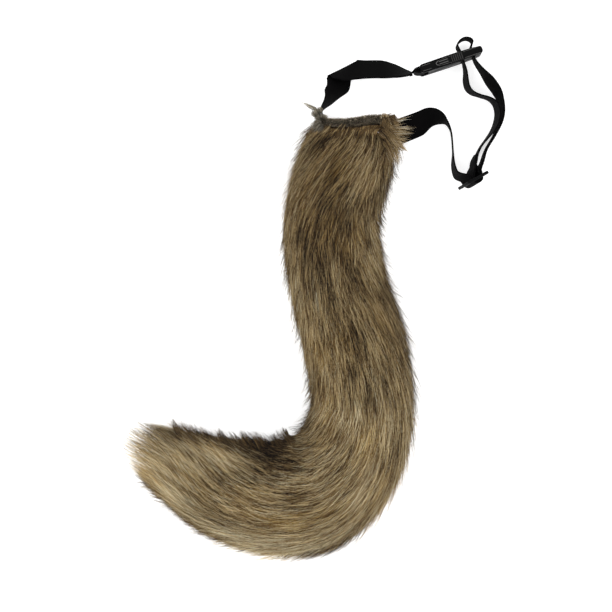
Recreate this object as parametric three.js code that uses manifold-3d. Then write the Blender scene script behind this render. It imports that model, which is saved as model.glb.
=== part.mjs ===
// A costume animal tail as it lies on a flat surface: a stuffed tail of long pile fur cloth with a
// rolled hem across its top, and a waist belt of black webbing that stands on its edge, closed with a
// side-release buckle and taken up by a sliding adjuster. Millimetres, +Z up, the tail hanging towards
// -Y from its hem and curling to -X. The origin is the middle of the whole thing's footprint.
import * as THREE from "three";
import { mergeVertices } from "three/addons/utils/BufferGeometryUtils.js";
import Module from "manifold-3d";

const wasm = await Module();
wasm.setup();

// Tail, measured over the fur
const TAIL_DROP = 376; // hem to the lowest point of the tail's middle line
const TAIL_REACH = 229; // sideways from the hem's middle to the tip
const FUR_WIDTH = 112;
const FUR_HEIGHT = 76;
const PILE_DEPTH = 11; // how far the fur stands off the stuffed sleeve
const LOCK_LENGTH = 54;
const LOCK_WIDTH = 26;
const LOCK_THICKNESS = 8;
const LOCK_ROOT = 3; // how deep a lock is sewn into the sleeve
const LOCK_SWELL = 1.7; // how much wider a lock is halfway than at its quarters
const LOCK_ARCH = 0.7; // below 1, a lock rises early to the fur's outer face
const LOCK_ROWS = 16;
const LOCKS_ROUND = 9;
const LOCKS_FROM = -32; // round the tail from its right flank, in degrees
const LOCKS_TO = 212;
const FIRST_LOCKS = 12; // from the hem to the first row of locks
const LAST_LOCKS = 3; // from the last row of locks to the sleeve's end
const TIP_LOCK = 0.75; // a lock's size at the tip, as a share of one at the hem
const TIP_SLANT = 0.3; // how much longer locks are on the tip's inner flank, and shorter on its outer one
const TUFT_THICKNESS = 5;

// Hem
const HEM_LENGTH = 76;
const HEM_DEPTH = 10.5;
const HEM_HEIGHT = 32;
const HEM_DIP = 3; // how far its middle sags below its ends
const HEM_TAPER = 0.3; // share of its section lost at its ends
const HEM_ROUND = 0.7; // 1 for an oval section, less for a squarer one

// Webbing
const STRAP_WIDTH = 25;
const STRAP_THICKNESS = 1.5;
const SHORT_STUB = 9; // webbing sewn inside the hem
const LONG_STUB = 20; // webbing sewn inside the tail
const STUB_MIDDLE = 0.6; // share of a stub at which its second row lies
const SHORT_STUB_TURN = -80; // which way the stubs point, in degrees
const LONG_STUB_TURN = 202;
const LEAST_SLANT = 0.6; // bounds how long a slanting ruling gets

// Side-release buckle
const SOCKET_LENGTH = 31.5;
const BUCKLE_WIDTH = 33;
const SOCKET_THICKNESS = 9.6;
const SOCKET_END_THICKNESS = 9;
const SOCKET_WALL = 1.7;
const SOCKET_BAR = 3.4;
const SOCKET_BACK = 4; // solid length between the strap's opening and the cavity
const SOCKET_SIDE_END = 1.2; // how far its side walls stand past the bar
const BUCKLE_EDGE = 0.8; // rounding of its long edges
const BUCKLE_ROUND = 3; // rounding of its two ends
const WINDOW_LENGTH = 15;
const WINDOW_THICKNESS = 7.4;
const WINDOW_NOSE = 0.7; // length of a window's pointed end, as a share of its thickness
const PLUG_BASE_LENGTH = 33.5;
const PLUG_END_THICKNESS = 7.4;
const PLUG_SHOULDER = 10.5;
const PLUG_BAR = 8.2;
const PRONG_WIDTH = 4.2;
const TONGUE_WIDTH = 6;
const TONGUE_THICKNESS = 3;
const PRONG_LENGTH = 17;
const PRONG_ROOT = 2; // how far a prong reaches into the base
const BUTTON_PROUD = 0.9; // how far a release button stands out of its window
const BUTTON_SIDE_GAP = 1.2;
const BUTTON_ROOT = 0.5; // how far a button reaches into the base

// Sliding adjuster
const SLIDER_LENGTH = 25; // along the webbing
const SLIDER_WIDTH = 32; // across the webbing
const SLIDER_THICKNESS = 3.2;
const SLIDER_BAR = 6;
const SLIDER_SIDE = 4;
const SLIDER_CORNER = 3;
const SLIDER_EDGE = 0.7;

// Where the webbing passes the hardware
const SOCKET_LEAD = 5.5; // before the socket, where the strap's two layers part
const SOCKET_NEAR = 2.5; // before the socket, where they start round its bar
const SLIDER_LEAD = 6.4; // before the adjuster's middle, where the tail's strand reaches it
const SLIDER_LEAVE = 7.4; // past its middle, where the outer strand leaves it
const SLIDER_RISE = 5; // how far off its middle plane both of them are there
const INNER_RISE = 6.5; // how far off that plane the inner strand comes in
const SEWN_LEAVE = 4.6; // past its middle, where the sewn end turns back to the inner strand
const SEWN_RISE = 3.2;
const LOOP_FACE = 0.56; // shares of the buckle's thickness at which the slack loop enters and leaves it
const LOOP_BACK = 0.8;

// Clearances
const GAP = 0.3; // between pieces that touch
const SLOT_SPARE = 1; // over the webbing's width in each slot
const SLOT_PLAY = 2; // over the webbing's thickness in each slot
const SEAM = 0.9; // share of its thickness that a layer of webbing keeps when sewn to another
const OVERLAP = 1; // how far forms of one solid reach into or past each other

// Where the hardware and the belt's ends lie, from the middle of the hem
const BUCKLE_AT = { x: 65, y: 49.6 };
const BUCKLE_TURN = 18.5;
const BUCKLE_LEAN = 1;
const SLIDER_AT = { x: 118.7, y: -60.2 };
const SLIDER_TURN = 29.5;
const SLIDER_TILT = 20;
const SHORT_STRAP_AT = { x: -33.5, y: 11 };
const LONG_STRAP_AT = { x: 50, y: -9 };
const STRAND_BOW = 33; // how far the doubled strands swing out between adjuster and buckle
const TAKE_UP_LOOP = 15.2; // height of the slack loop over the plug's bar

// The tail's sections down its middle line. left and down are shares of the reach and the drop, wide
// and high of the fur's width and height, and comb turns the pile off the middle line, in degrees.
const SECTIONS = [
  { left: 0.0, down: 0.0, wide: 0.79, high: 0.45, comb: 8 },
  { left: 0.015, down: 0.05, wide: 0.9, high: 0.56, comb: 14 },
  { left: 0.055, down: 0.12, wide: 0.935, high: 0.7, comb: 16 },
  { left: 0.112, down: 0.275, wide: 0.925, high: 0.86, comb: 8 },
  { left: 0.082, down: 0.435, wide: 0.94, high: 0.94, comb: 0 },
  { left: 0.01, down: 0.6, wide: 0.985, high: 0.97, comb: -4 },
  { left: -0.022, down: 0.75, wide: 0.98, high: 1.0, comb: -2 },
  { left: -0.005, down: 0.83, wide: 1.01, high: 1.0, comb: 2 },
  { left: 0.06, down: 0.92, wide: 1.07, high: 1.0, comb: 4 },
  { left: 0.18, down: 0.985, wide: 1.12, high: 0.98, comb: 4 },
  { left: 0.34, down: 1.003, wide: 1.09, high: 0.95, comb: 10 },
  { left: 0.495, down: 0.991, wide: 1.02, high: 0.9, comb: 16 },
  { left: 0.635, down: 0.967, wide: 0.93, high: 0.81, comb: 24 },
  { left: 0.765, down: 0.931, wide: 0.77, high: 0.69, comb: 26 },
  { left: 0.885, down: 0.89, wide: 0.62, high: 0.56, comb: 24 },
  { left: 0.995, down: 0.856, wide: 0.46, high: 0.42, comb: 18 },
];
const SLEEVE_END = 0.91; // share of the middle line where the stuffed sleeve stops and only fur goes on
const MIDDLE_RISE = 0.42; // share of the height at which a section is widest
const BELLY = 0.5; // share of the height that the underside would reach below that, but for the floor

// Short strap from its sewn end to the buckle. along and up are shares of the way there, lift is the
// height of its lower edge in strap widths, and sideX and sideY say which way its upper edge lies.
const SHORT_STRAP = [
  { along: 0.0, up: 0.0, lift: 0.16, sideX: -0.05, sideY: 0.0 },
  { along: 0.064, up: 0.197, lift: 0.13, sideX: -0.3, sideY: 0.02 },
  { along: 0.117, up: 0.389, lift: 0.14, sideX: -0.55, sideY: 0.03 },
  { along: 0.168, up: 0.611, lift: 0.13, sideX: -0.84, sideY: 0.02 },
  { along: 0.18, up: 0.819, lift: 0.1, sideX: -0.94, sideY: -0.12 },
  { along: 0.184, up: 0.984, lift: 0.08, sideX: -0.91, sideY: -0.38 },
  { along: 0.192, up: 1.067, lift: 0.15, sideX: -0.88, sideY: -0.44 },
  { along: 0.216, up: 1.052, lift: 0.22, sideX: -0.8, sideY: -0.55 },
  { along: 0.274, up: 1.041, lift: 0.2, sideX: -0.55, sideY: -0.7 },
  { along: 0.36, up: 1.06, lift: 0.12, sideX: -0.17, sideY: -0.8 },
  { along: 0.452, up: 1.07, lift: 0.06, sideX: 0.0, sideY: -0.77 },
  { along: 0.609, up: 1.073, lift: 0.05, sideX: 0.0, sideY: -0.76 },
  { along: 0.734, up: 1.031, lift: 0.07, sideX: 0.0, sideY: -0.6 },
  { along: 0.827, up: 0.982, lift: 0.13, sideX: 0.0, sideY: -0.42 },
  { along: 0.892, up: 0.959, lift: 0.16, sideX: 0.0, sideY: -0.26 },
];
// Long strap from its sewn end to the adjuster, in the same columns
const TAIL_STRAND = [
  { along: 0.0, up: 0.0, lift: 0.62, sideX: -0.37, sideY: 0.92 },
  { along: 0.224, up: -0.12, lift: 0.5, sideX: -0.11, sideY: 0.94 },
  { along: 0.41, up: -0.25, lift: 0.22, sideX: -0.02, sideY: 0.67 },
  { along: 0.533, up: -0.225, lift: 0.06, sideX: 0.1, sideY: 0.36 },
  { along: 0.618, up: -0.142, lift: 0.02, sideX: 0.0, sideY: 0.05 },
  { along: 0.678, up: 0.021, lift: 0.02, sideX: -0.06, sideY: 0.01 },
  { along: 0.708, up: 0.43, lift: 0.04, sideX: -0.05, sideY: 0.0 },
  { along: 0.712, up: 0.7, lift: 0.14, sideX: 0.06, sideY: 0.03 },
  { along: 0.755, up: 0.89, lift: 0.25, sideX: 0.12, sideY: 0.15 },
];
// The two strands between the adjuster and the buckle. up is the share of the way and out of the bow.
const OUTER_STRAND = [
  { up: 0.138, out: 0.281, lift: 0.16, sideX: 0.09, sideY: 0.04 },
  { up: 0.244, out: 0.441, lift: 0.06, sideX: 0.04, sideY: 0.01 },
  { up: 0.366, out: 0.734, lift: 0.03, sideX: 0.06, sideY: 0.01 },
  { up: 0.484, out: 0.963, lift: 0.02, sideX: 0.07, sideY: 0.0 },
  { up: 0.57, out: 1.025, lift: 0.02, sideX: 0.07, sideY: 0.01 },
  { up: 0.638, out: 0.987, lift: 0.02, sideX: 0.13, sideY: 0.04 },
  { up: 0.717, out: 0.875, lift: 0.05, sideX: 0.24, sideY: 0.12 },
  { up: 0.792, out: 0.683, lift: 0.12, sideX: 0.2, sideY: 0.2 },
  { up: 0.868, out: 0.456, lift: 0.2, sideX: 0.05, sideY: 0.12 },
];
const INNER_STRAND = [
  { up: 0.873, out: -0.074, lift: 0.22, sideX: 0.05, sideY: 0.03 },
  { up: 0.798, out: -0.064, lift: 0.14, sideX: 0.12, sideY: 0.02 },
  { up: 0.743, out: -0.017, lift: 0.08, sideX: 0.11, sideY: 0.04 },
  { up: 0.707, out: 0.103, lift: 0.04, sideX: 0.05, sideY: 0.04 },
  { up: 0.68, out: 0.353, lift: 0.02, sideX: 0.0, sideY: 0.01 },
  { up: 0.657, out: 0.627, lift: 0.02, sideX: 0.03, sideY: 0.02 },
  { up: 0.618, out: 0.801, lift: 0.02, sideX: 0.1, sideY: 0.05 },
  { up: 0.549, out: 0.87, lift: 0.02, sideX: 0.15, sideY: 0.01 },
  { up: 0.475, out: 0.819, lift: 0.02, sideX: 0.14, sideY: -0.03 },
  { up: 0.404, out: 0.693, lift: 0.02, sideX: 0.1, sideY: -0.05 },
  { up: 0.337, out: 0.493, lift: 0.02, sideX: 0.04, sideY: -0.02 },
  { up: 0.269, out: 0.285, lift: 0.05, sideX: 0.02, sideY: 0.0 },
  { up: 0.205, out: 0.158, lift: 0.11, sideX: 0.04, sideY: 0.02 },
  { up: 0.142, out: 0.064, lift: 0.19, sideX: 0.14, sideY: 0.07 },
];
const SEWN_ROWS = 2; // rows of the inner strand that its end is sewn along
// The slack loop over the plug's bar: place is the share of the way from one slot to the other, rise
// the share of the loop's height
const TAKE_UP = [
  { place: 1.3, rise: 0.74 },
  { place: 1.12, rise: 0.97 },
  { place: 0.75, rise: 1.09 },
  { place: 0.3, rise: 1.03 },
  { place: -0.04, rise: 0.8 },
];
// Tufts round the hem's corners: where each one grows, as shares of half the hem's length, the hem's
// depth and the hem's height, the way it points and how steeply, in degrees, and its length and width
// as shares of a lock's
const CORNER_TUFTS = [
  { x: -0.9, y: 0.2, z: 0.62, turn: 142, rise: 10, long: 0.38, wide: 0.28 },
  { x: -0.86, y: -0.2, z: 0.72, turn: 200, rise: 3, long: 0.3, wide: 0.34 },
];
const SIDE_TUFTS = [
  { x: 0.66, y: -0.9, z: 0.74, turn: 72, rise: 14, long: 0.33, wide: 0.44 },
  { x: 0.74, y: -0.9, z: 0.78, turn: 46, rise: 14, long: 0.36, wide: 0.46 },
  { x: 0.8, y: -1.2, z: 0.8, turn: 16, rise: 8, long: 0.42, wide: 0.46 },
  { x: 0.82, y: -1.9, z: 0.8, turn: -12, rise: 6, long: 0.4, wide: 0.46 },
  { x: 0.82, y: -2.6, z: 0.7, turn: -50, rise: 2, long: 0.38, wide: 0.46 },
];

const MATERIALS = {
  fur: new THREE.MeshStandardMaterial({ color: 0x8a7350, roughness: 0.95, metalness: 0 }),
  cloth: new THREE.MeshStandardMaterial({ color: 0x6a6252, roughness: 1, metalness: 0 }),
  webbing: new THREE.MeshStandardMaterial({ color: 0x101010, roughness: 0.85, metalness: 0 }),
  plastic: new THREE.MeshStandardMaterial({ color: 0x1b1b1b, roughness: 0.45, metalness: 0 }),
};

const UP = new THREE.Vector3(0, 0, 1);
const mix = THREE.MathUtils.lerp;
const radians = THREE.MathUtils.degToRad;

// Solids and meshes

function solidOf(geometry) {
  const bare = geometry.index ? geometry.toNonIndexed() : geometry.clone();
  const places = new THREE.BufferGeometry();
  places.setAttribute("position", bare.getAttribute("position"));
  const merged = mergeVertices(places, 1e-4);
  const mesh = new wasm.Mesh({
    numProp: 3,
    vertProperties: new Float32Array(merged.attributes.position.array),
    triVerts: new Uint32Array(merged.index.array),
  });
  return new wasm.Manifold(mesh);
}

function geometryOf(solid) {
  const mesh = solid.getMesh();
  const geometry = new THREE.BufferGeometry();
  geometry.setAttribute("position", new THREE.BufferAttribute(mesh.vertProperties, 3));
  geometry.setIndex(new THREE.BufferAttribute(mesh.triVerts, 1));
  return geometry;
}

function joined(solids) {
  return solids.reduce((whole, solid) => whole.add(solid));
}

// The outer skin of a solid's largest body, without slivers that a cut has freed or hollows that a
// seam has closed
function mainBody(solid) {
  const bodies = solid.decompose();
  return bodies.reduce((most, body) => (body.volume() > most.volume() ? body : most));
}

function meshOf(name, solid, material) {
  const mesh = new THREE.Mesh(geometryOf(solid), MATERIALS[material]);
  mesh.name = name;
  return mesh;
}

// Moves every vertex of a geometry to where place says
function shaped(geometry, place) {
  const position = geometry.getAttribute("position");
  const vertex = new THREE.Vector3();
  for (let i = 0; i < position.count; i++) {
    vertex.fromBufferAttribute(position, i);
    const to = place(vertex);
    position.setXYZ(i, to.x, to.y, to.z);
  }
  return geometry;
}

// A block given by its middle and its half lengths
function block(x, y, z, halfX, halfY, halfZ) {
  const box = new THREE.BoxGeometry(halfX * 2, halfY * 2, halfZ * 2);
  box.translate(x, y, z);
  return solidOf(box);
}

// A bar along Z with an oval section
function ovalBar(x, halfX, halfY, length) {
  const bar = new THREE.CylinderGeometry(1, 1, length, 12);
  bar.rotateX(Math.PI / 2);
  bar.scale(halfX, halfY, 1);
  bar.translate(x, 0, 0);
  return solidOf(bar);
}

// A shape in X and Y made a plate with rounded edges, as thick in Z as depth
function plate(shape, depth, edge) {
  const body = new THREE.ExtrudeGeometry(shape, {
    depth: depth - edge * 2,
    bevelThickness: edge,
    bevelSize: edge,
    bevelOffset: -edge,
    bevelSegments: 2,
    curveSegments: 3,
  });
  body.translate(0, 0, edge - depth / 2);
  return body;
}

// The tail's middle line and the size of its section, at a share of the way along it

const spine = new THREE.CatmullRomCurve3(
  SECTIONS.map((row) => new THREE.Vector3(-row.left * TAIL_REACH, -row.down * TAIL_DROP, 0)),
  false,
  "centripetal",
);

function sectionAt(share) {
  const last = SECTIONS.length - 1;
  const place = spine.getUtoTmapping(share) * last;
  const row = Math.min(Math.floor(place), last - 1);
  const between = (column) => mix(SECTIONS[row][column], SECTIONS[row + 1][column], place - row);
  return {
    wide: between("wide") * FUR_WIDTH,
    high: between("high") * FUR_HEIGHT,
    comb: radians(between("comb")),
  };
}

// A point of the tail at a share of the way along it and an angle round it, depth inside the fur's
// outer face. Nothing goes under the surface that the tail lies on.
function tailPoint(share, angle, depth) {
  const inside = THREE.MathUtils.clamp(share, 0, 1);
  const section = sectionAt(inside);
  const along = spine.getTangentAt(inside);
  const side = new THREE.Vector3().crossVectors(along, UP).negate();
  const halfWide = Math.max(section.wide / 2 - depth, 1);
  const widest = section.high * MIDDLE_RISE;
  const above = Math.max(section.high - widest - depth, 1);
  const below = section.high * BELLY;
  const height = Math.sin(angle) * (angle > 0 && angle < Math.PI ? above : below);
  const point = spine.getPointAt(inside);
  point.addScaledVector(along, (share - inside) * spine.getLength());
  point.addScaledVector(side, halfWide * Math.cos(angle));
  point.z = Math.max(widest + height, 0);
  return point;
}

function stuffedSleeve() {
  const tube = new THREE.CylinderGeometry(1, 1, 1, 20, 30);
  shaped(tube, (v) => {
    const share = (0.5 - v.y) * SLEEVE_END;
    const onRim = Math.hypot(v.x, v.z) > 0.5;
    if (onRim) return tailPoint(share, Math.atan2(v.z, v.x), PILE_DEPTH);
    return spine.getPointAt(share).setZ(sectionAt(share).high * MIDDLE_RISE);
  });
  return solidOf(tube);
}

// One pointed lock of fur, rooted in the sleeve and lying back along the pile
function furLock(share, angle, size) {
  const cone = new THREE.ConeGeometry(1, 1, 4, 2);
  const section = sectionAt(share);
  const slant = 1 - TIP_SLANT * Math.cos(angle) * share ** 4;
  const long = LOCK_LENGTH * size * slant;
  const round = Math.max((section.wide + section.high) / 4, 1);
  shaped(cone, (v) => {
    const way = v.y + 0.5;
    const swell = way > 0.25 && way < 0.75 ? LOCK_SWELL : 1;
    const sideways = (v.x * swell * LOCK_WIDTH * size) / 2;
    const drift = Math.sin(section.comb) * long * way * Math.sin(angle);
    const through = (v.z * swell * LOCK_THICKNESS * size) / 2;
    const depth = mix(PILE_DEPTH + LOCK_ROOT, 0, way ** LOCK_ARCH) + through;
    return tailPoint(share + (way * long) / spine.getLength(), angle + (drift - sideways) / round, depth);
  });
  return solidOf(cone);
}

function furLocks() {
  const locks = [];
  const first = FIRST_LOCKS / spine.getLength();
  const last = SLEEVE_END - LAST_LOCKS / spine.getLength();
  for (let row = 0; row < LOCK_ROWS; row++) {
    const share = mix(first, last, row / (LOCK_ROWS - 1));
    for (let i = 0; i < LOCKS_ROUND; i++) {
      const stagger = row % 2 ? 0.5 : 0;
      const angle = radians(mix(LOCKS_FROM, LOCKS_TO, (i + stagger) / (LOCKS_ROUND - 0.5)));
      locks.push(furLock(share, angle, mix(1, TIP_LOCK, share)));
    }
  }
  return locks;
}

function tuft(row, grow) {
  const cone = new THREE.ConeGeometry(1, 1, 5, 1);
  cone.translate(0, 0.5, 0);
  const half = (row.wide * LOCK_WIDTH) / 2;
  cone.scale(half + grow, row.long * LOCK_LENGTH + grow * 4, TUFT_THICKNESS / 2 + grow);
  cone.translate(0, -grow, 0);
  cone.rotateX(radians(row.rise));
  cone.rotateZ(radians(row.turn - 90));
  cone.translate((row.x * HEM_LENGTH) / 2, row.y * HEM_DEPTH, row.z * HEM_HEIGHT);
  return solidOf(cone);
}

// The hem: a flattened roll that sags in the middle and narrows at its ends
function hemRoll(grow) {
  const roll = new THREE.CylinderGeometry(1, 1, 1, 12, 8);
  shaped(roll, (v) => {
    const way = -v.y * 2;
    const taper = 1 - HEM_TAPER * way ** 6;
    const reach = Math.hypot(v.x, v.z);
    const angle = Math.atan2(v.z, v.x);
    const squared = (value) => Math.sign(value) * Math.abs(value) ** HEM_ROUND * reach;
    const y = squared(Math.cos(angle)) * (HEM_DEPTH / 2 + grow) * taper;
    const z = squared(Math.sin(angle)) * (HEM_HEIGHT / 2 + grow) * taper;
    const x = way * (HEM_LENGTH / 2 + grow);
    return new THREE.Vector3(x, y - HEM_DIP * (1 - way ** 2) + HEM_DIP / 2, z + HEM_HEIGHT / 2);
  });
  return solidOf(roll);
}

// Frames of the hardware: X along the webbing, Y through the thickness, Z across the webbing

function frameOf(at, along, across) {
  const through = new THREE.Vector3().crossVectors(across, along);
  return new THREE.Matrix4().makeBasis(along, through, across).setPosition(at);
}

function headingOf(degrees) {
  return new THREE.Vector3(Math.cos(radians(degrees)), Math.sin(radians(degrees)), 0);
}

// The buckle stands on its long edge and leans back a little
function buckleFrame() {
  const along = headingOf(BUCKLE_TURN);
  const lean = radians(BUCKLE_LEAN);
  const back = headingOf(BUCKLE_TURN + 90);
  const across = UP.clone().multiplyScalar(Math.cos(lean)).addScaledVector(back, Math.sin(lean));
  const standing = BUCKLE_WIDTH / 2 + BUTTON_PROUD;
  const height = standing * Math.cos(lean) + (SOCKET_THICKNESS / 2) * Math.sin(lean);
  return frameOf(new THREE.Vector3(BUCKLE_AT.x, BUCKLE_AT.y, height), along, across);
}

// The adjuster stands on one corner, tilted in its own plane
function sliderFrame() {
  const tilt = radians(SLIDER_TILT);
  const heading = headingOf(SLIDER_TURN);
  const across = UP.clone().multiplyScalar(Math.cos(tilt)).addScaledVector(heading, Math.sin(tilt));
  const along = heading.clone().multiplyScalar(Math.cos(tilt)).addScaledVector(UP, -Math.sin(tilt));
  const height = (SLIDER_WIDTH * Math.cos(tilt) + SLIDER_LENGTH * Math.sin(tilt)) / 2;
  return frameOf(new THREE.Vector3(SLIDER_AT.x, SLIDER_AT.y, height), along, across);
}

const BUCKLE = buckleFrame();
const SLIDER = sliderFrame();
const SLOT = STRAP_THICKNESS + SLOT_PLAY;
const SLOT_WIDTH = STRAP_WIDTH + SLOT_SPARE;

// Places along the buckle, from the strap's end of the socket
const SOCKET_BAR_AT = SOCKET_SIDE_END + SOCKET_BAR / 2;
const SOCKET_OPENING = SOCKET_SIDE_END + SOCKET_BAR + SLOT;
const CAVITY_END = SOCKET_OPENING + SOCKET_BACK;
const CAVITY_HALF_WIDTH = BUCKLE_WIDTH / 2 - SOCKET_WALL;
const CAVITY_HALF_THICKNESS = SOCKET_THICKNESS / 2 - SOCKET_WALL;
const PLUG_START = SOCKET_LENGTH + GAP;
const FIRST_SLOT = PLUG_START + PLUG_SHOULDER + SLOT / 2;
const SECOND_SLOT = FIRST_SLOT + SLOT + PLUG_BAR;

// A block seen from its narrow side, flat where the buckle's halves meet and tapering to a rounded end
function taperedBlock(flat, end, flatThickness, endThickness) {
  const wide = flatThickness / 2;
  const narrow = endThickness / 2;
  const halfway = (flat + end) / 2;
  const corner = end - Math.sign(end - flat) * BUCKLE_ROUND;
  const shape = new THREE.Shape();
  shape.moveTo(flat, -wide);
  shape.quadraticCurveTo(halfway, -wide, corner, -narrow);
  shape.quadraticCurveTo(end, -narrow, end, BUCKLE_ROUND - narrow);
  shape.lineTo(end, narrow - BUCKLE_ROUND);
  shape.quadraticCurveTo(end, narrow, corner, narrow);
  shape.quadraticCurveTo(halfway, wide, flat, wide);
  return solidOf(plate(shape, BUCKLE_WIDTH, BUCKLE_EDGE));
}

// The window's outline from its pointed blind end to past the mouth, as a prism across a side wall
function windowPrism(length, thickness, from, to, mouth) {
  const shape = new THREE.Shape();
  const blind = mouth - length;
  const half = thickness / 2;
  const nose = blind + thickness * WINDOW_NOSE;
  shape.moveTo(mouth, -half);
  shape.lineTo(mouth, half);
  shape.lineTo(nose, half);
  shape.quadraticCurveTo(blind, half, blind, 0);
  shape.quadraticCurveTo(blind, -half, nose, -half);
  const prism = { depth: to - from, bevelEnabled: false, curveSegments: 4 };
  const body = new THREE.ExtrudeGeometry(shape, prism);
  body.translate(0, 0, from);
  return solidOf(body);
}

function buckleSocket() {
  const wallMiddle = CAVITY_HALF_WIDTH + SOCKET_WALL / 2;
  let socket = taperedBlock(SOCKET_LENGTH, 0, SOCKET_THICKNESS, SOCKET_END_THICKNESS);
  const opening = block(0, 0, 0, SOCKET_OPENING, SOCKET_THICKNESS, SLOT_WIDTH / 2);
  socket = socket.subtract(opening);
  socket = socket.add(ovalBar(SOCKET_BAR_AT, SOCKET_BAR / 2, SOCKET_BAR / 2, SLOT_WIDTH + OVERLAP * 2));
  const cavity = (SOCKET_LENGTH - CAVITY_END) / 2 + OVERLAP;
  const middle = CAVITY_END + cavity;
  socket = socket.subtract(block(middle, 0, 0, cavity, CAVITY_HALF_THICKNESS, CAVITY_HALF_WIDTH));
  for (const side of [-1, 1]) {
    const from = side * wallMiddle - SOCKET_WALL;
    const to = side * wallMiddle + SOCKET_WALL;
    const length = WINDOW_LENGTH + OVERLAP;
    const window = windowPrism(length, WINDOW_THICKNESS, from, to, SOCKET_LENGTH + OVERLAP);
    socket = socket.subtract(window);
  }
  return mainBody(socket);
}

function bucklePlug() {
  const plugEnd = PLUG_START + PLUG_BASE_LENGTH;
  let plug = taperedBlock(PLUG_START, plugEnd, SOCKET_THICKNESS, PLUG_END_THICKNESS);
  for (const slot of [FIRST_SLOT, SECOND_SLOT]) {
    plug = plug.subtract(block(slot, 0, 0, SLOT / 2, SOCKET_THICKNESS, SLOT_WIDTH / 2));
  }
  const prongHalf = (PRONG_LENGTH + PRONG_ROOT) / 2;
  const prongMiddle = PLUG_START + PRONG_ROOT - prongHalf;
  const prongPlace = CAVITY_HALF_WIDTH - GAP - PRONG_WIDTH / 2;
  const prongThickness = CAVITY_HALF_THICKNESS - GAP;
  plug = plug.add(block(prongMiddle, 0, 0, prongHalf, TONGUE_THICKNESS / 2, TONGUE_WIDTH / 2));
  for (const side of [-1, 1]) {
    plug = plug.add(block(prongMiddle, 0, side * prongPlace, prongHalf, prongThickness, PRONG_WIDTH / 2));
    const outer = BUCKLE_WIDTH / 2 + BUTTON_PROUD;
    const from = side > 0 ? prongPlace : -outer;
    const to = side > 0 ? outer : -prongPlace;
    const length = WINDOW_LENGTH - BUTTON_SIDE_GAP;
    plug = plug.add(windowPrism(length, prongThickness * 2, from, to, PLUG_START + BUTTON_ROOT));
  }
  return plug;
}

function slider() {
  const x = SLIDER_LENGTH / 2;
  const z = SLIDER_WIDTH / 2;
  const round = SLIDER_CORNER;
  const outline = new THREE.Shape();
  outline.moveTo(round - x, -z);
  outline.lineTo(x - round, -z);
  outline.quadraticCurveTo(x, -z, x, round - z);
  outline.lineTo(x, z - round);
  outline.quadraticCurveTo(x, z, x - round, z);
  outline.lineTo(round - x, z);
  outline.quadraticCurveTo(-x, z, -x, z - round);
  outline.lineTo(-x, round - z);
  outline.quadraticCurveTo(-x, -z, round - x, -z);
  const body = plate(outline, SLIDER_THICKNESS, SLIDER_EDGE);
  body.rotateX(Math.PI / 2);
  const hole = block(0, 0, 0, x - SLIDER_SIDE, SLIDER_THICKNESS, SLOT_WIDTH / 2);
  const bar = ovalBar(0, SLIDER_BAR / 2, SLIDER_THICKNESS / 2, SLOT_WIDTH + OVERLAP * 2);
  return solidOf(body).subtract(hole).add(bar);
}

// Webbing. A row is a point of its middle line and the direction from its lower edge to its upper one.

function rowIn(frame, x, y) {
  const side = new THREE.Vector3().setFromMatrixColumn(frame, 2);
  return { point: new THREE.Vector3(x, y, 0).applyMatrix4(frame), side };
}

function rowAt(x, y, row) {
  const rise = Math.sqrt(1 - row.sideX ** 2 - row.sideY ** 2);
  const z = (row.lift + rise / 2) * STRAP_WIDTH;
  const side = new THREE.Vector3(row.sideX, row.sideY, rise);
  return { point: new THREE.Vector3(x, y, z), side };
}

// Rows of a table whose along and up are shares of the way from one place to another
function rowsBetween(from, to, table) {
  return table.map((row) => rowAt(mix(from.x, to.x, row.along), mix(from.y, to.y, row.up), row));
}

// Rows of a strand that bows out between the adjuster and the plug's slots
function strandRows(table) {
  const plug = rowIn(BUCKLE, (FIRST_SLOT + SECOND_SLOT) / 2, 0).point;
  return table.map((row) => {
    const x = mix(SLIDER_AT.x, plug.x, row.up) + row.out * STRAND_BOW;
    return rowAt(x, mix(SLIDER_AT.y, plug.y, row.up), row);
  });
}

// Rows that bend round a bar between two angles, in degrees, with layers of webbing under them
function rowsRound(frame, barAt, halfX, halfY, layers, from, to) {
  const off = GAP + STRAP_THICKNESS / 2 + layers * (STRAP_THICKNESS + GAP);
  return [0, 0.25, 0.5, 0.75, 1].map((share) => {
    const angle = radians(mix(from, to, share));
    return rowIn(frame, barAt + (halfX + off) * Math.cos(angle), (halfY + off) * Math.sin(angle));
  });
}

// Rows laid against others, in the reverse order, where the webbing's end is sewn to itself
function rowsLaidOn(rows) {
  const laid = rows.slice(0, -1).map((row, i) => {
    const along = rows[i + 1].point.clone().sub(row.point).normalize();
    const normal = new THREE.Vector3().crossVectors(along, row.side).normalize();
    const point = row.point.clone().addScaledVector(normal, STRAP_THICKNESS * SEAM);
    return { point, side: row.side };
  });
  return laid.reverse();
}

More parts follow.
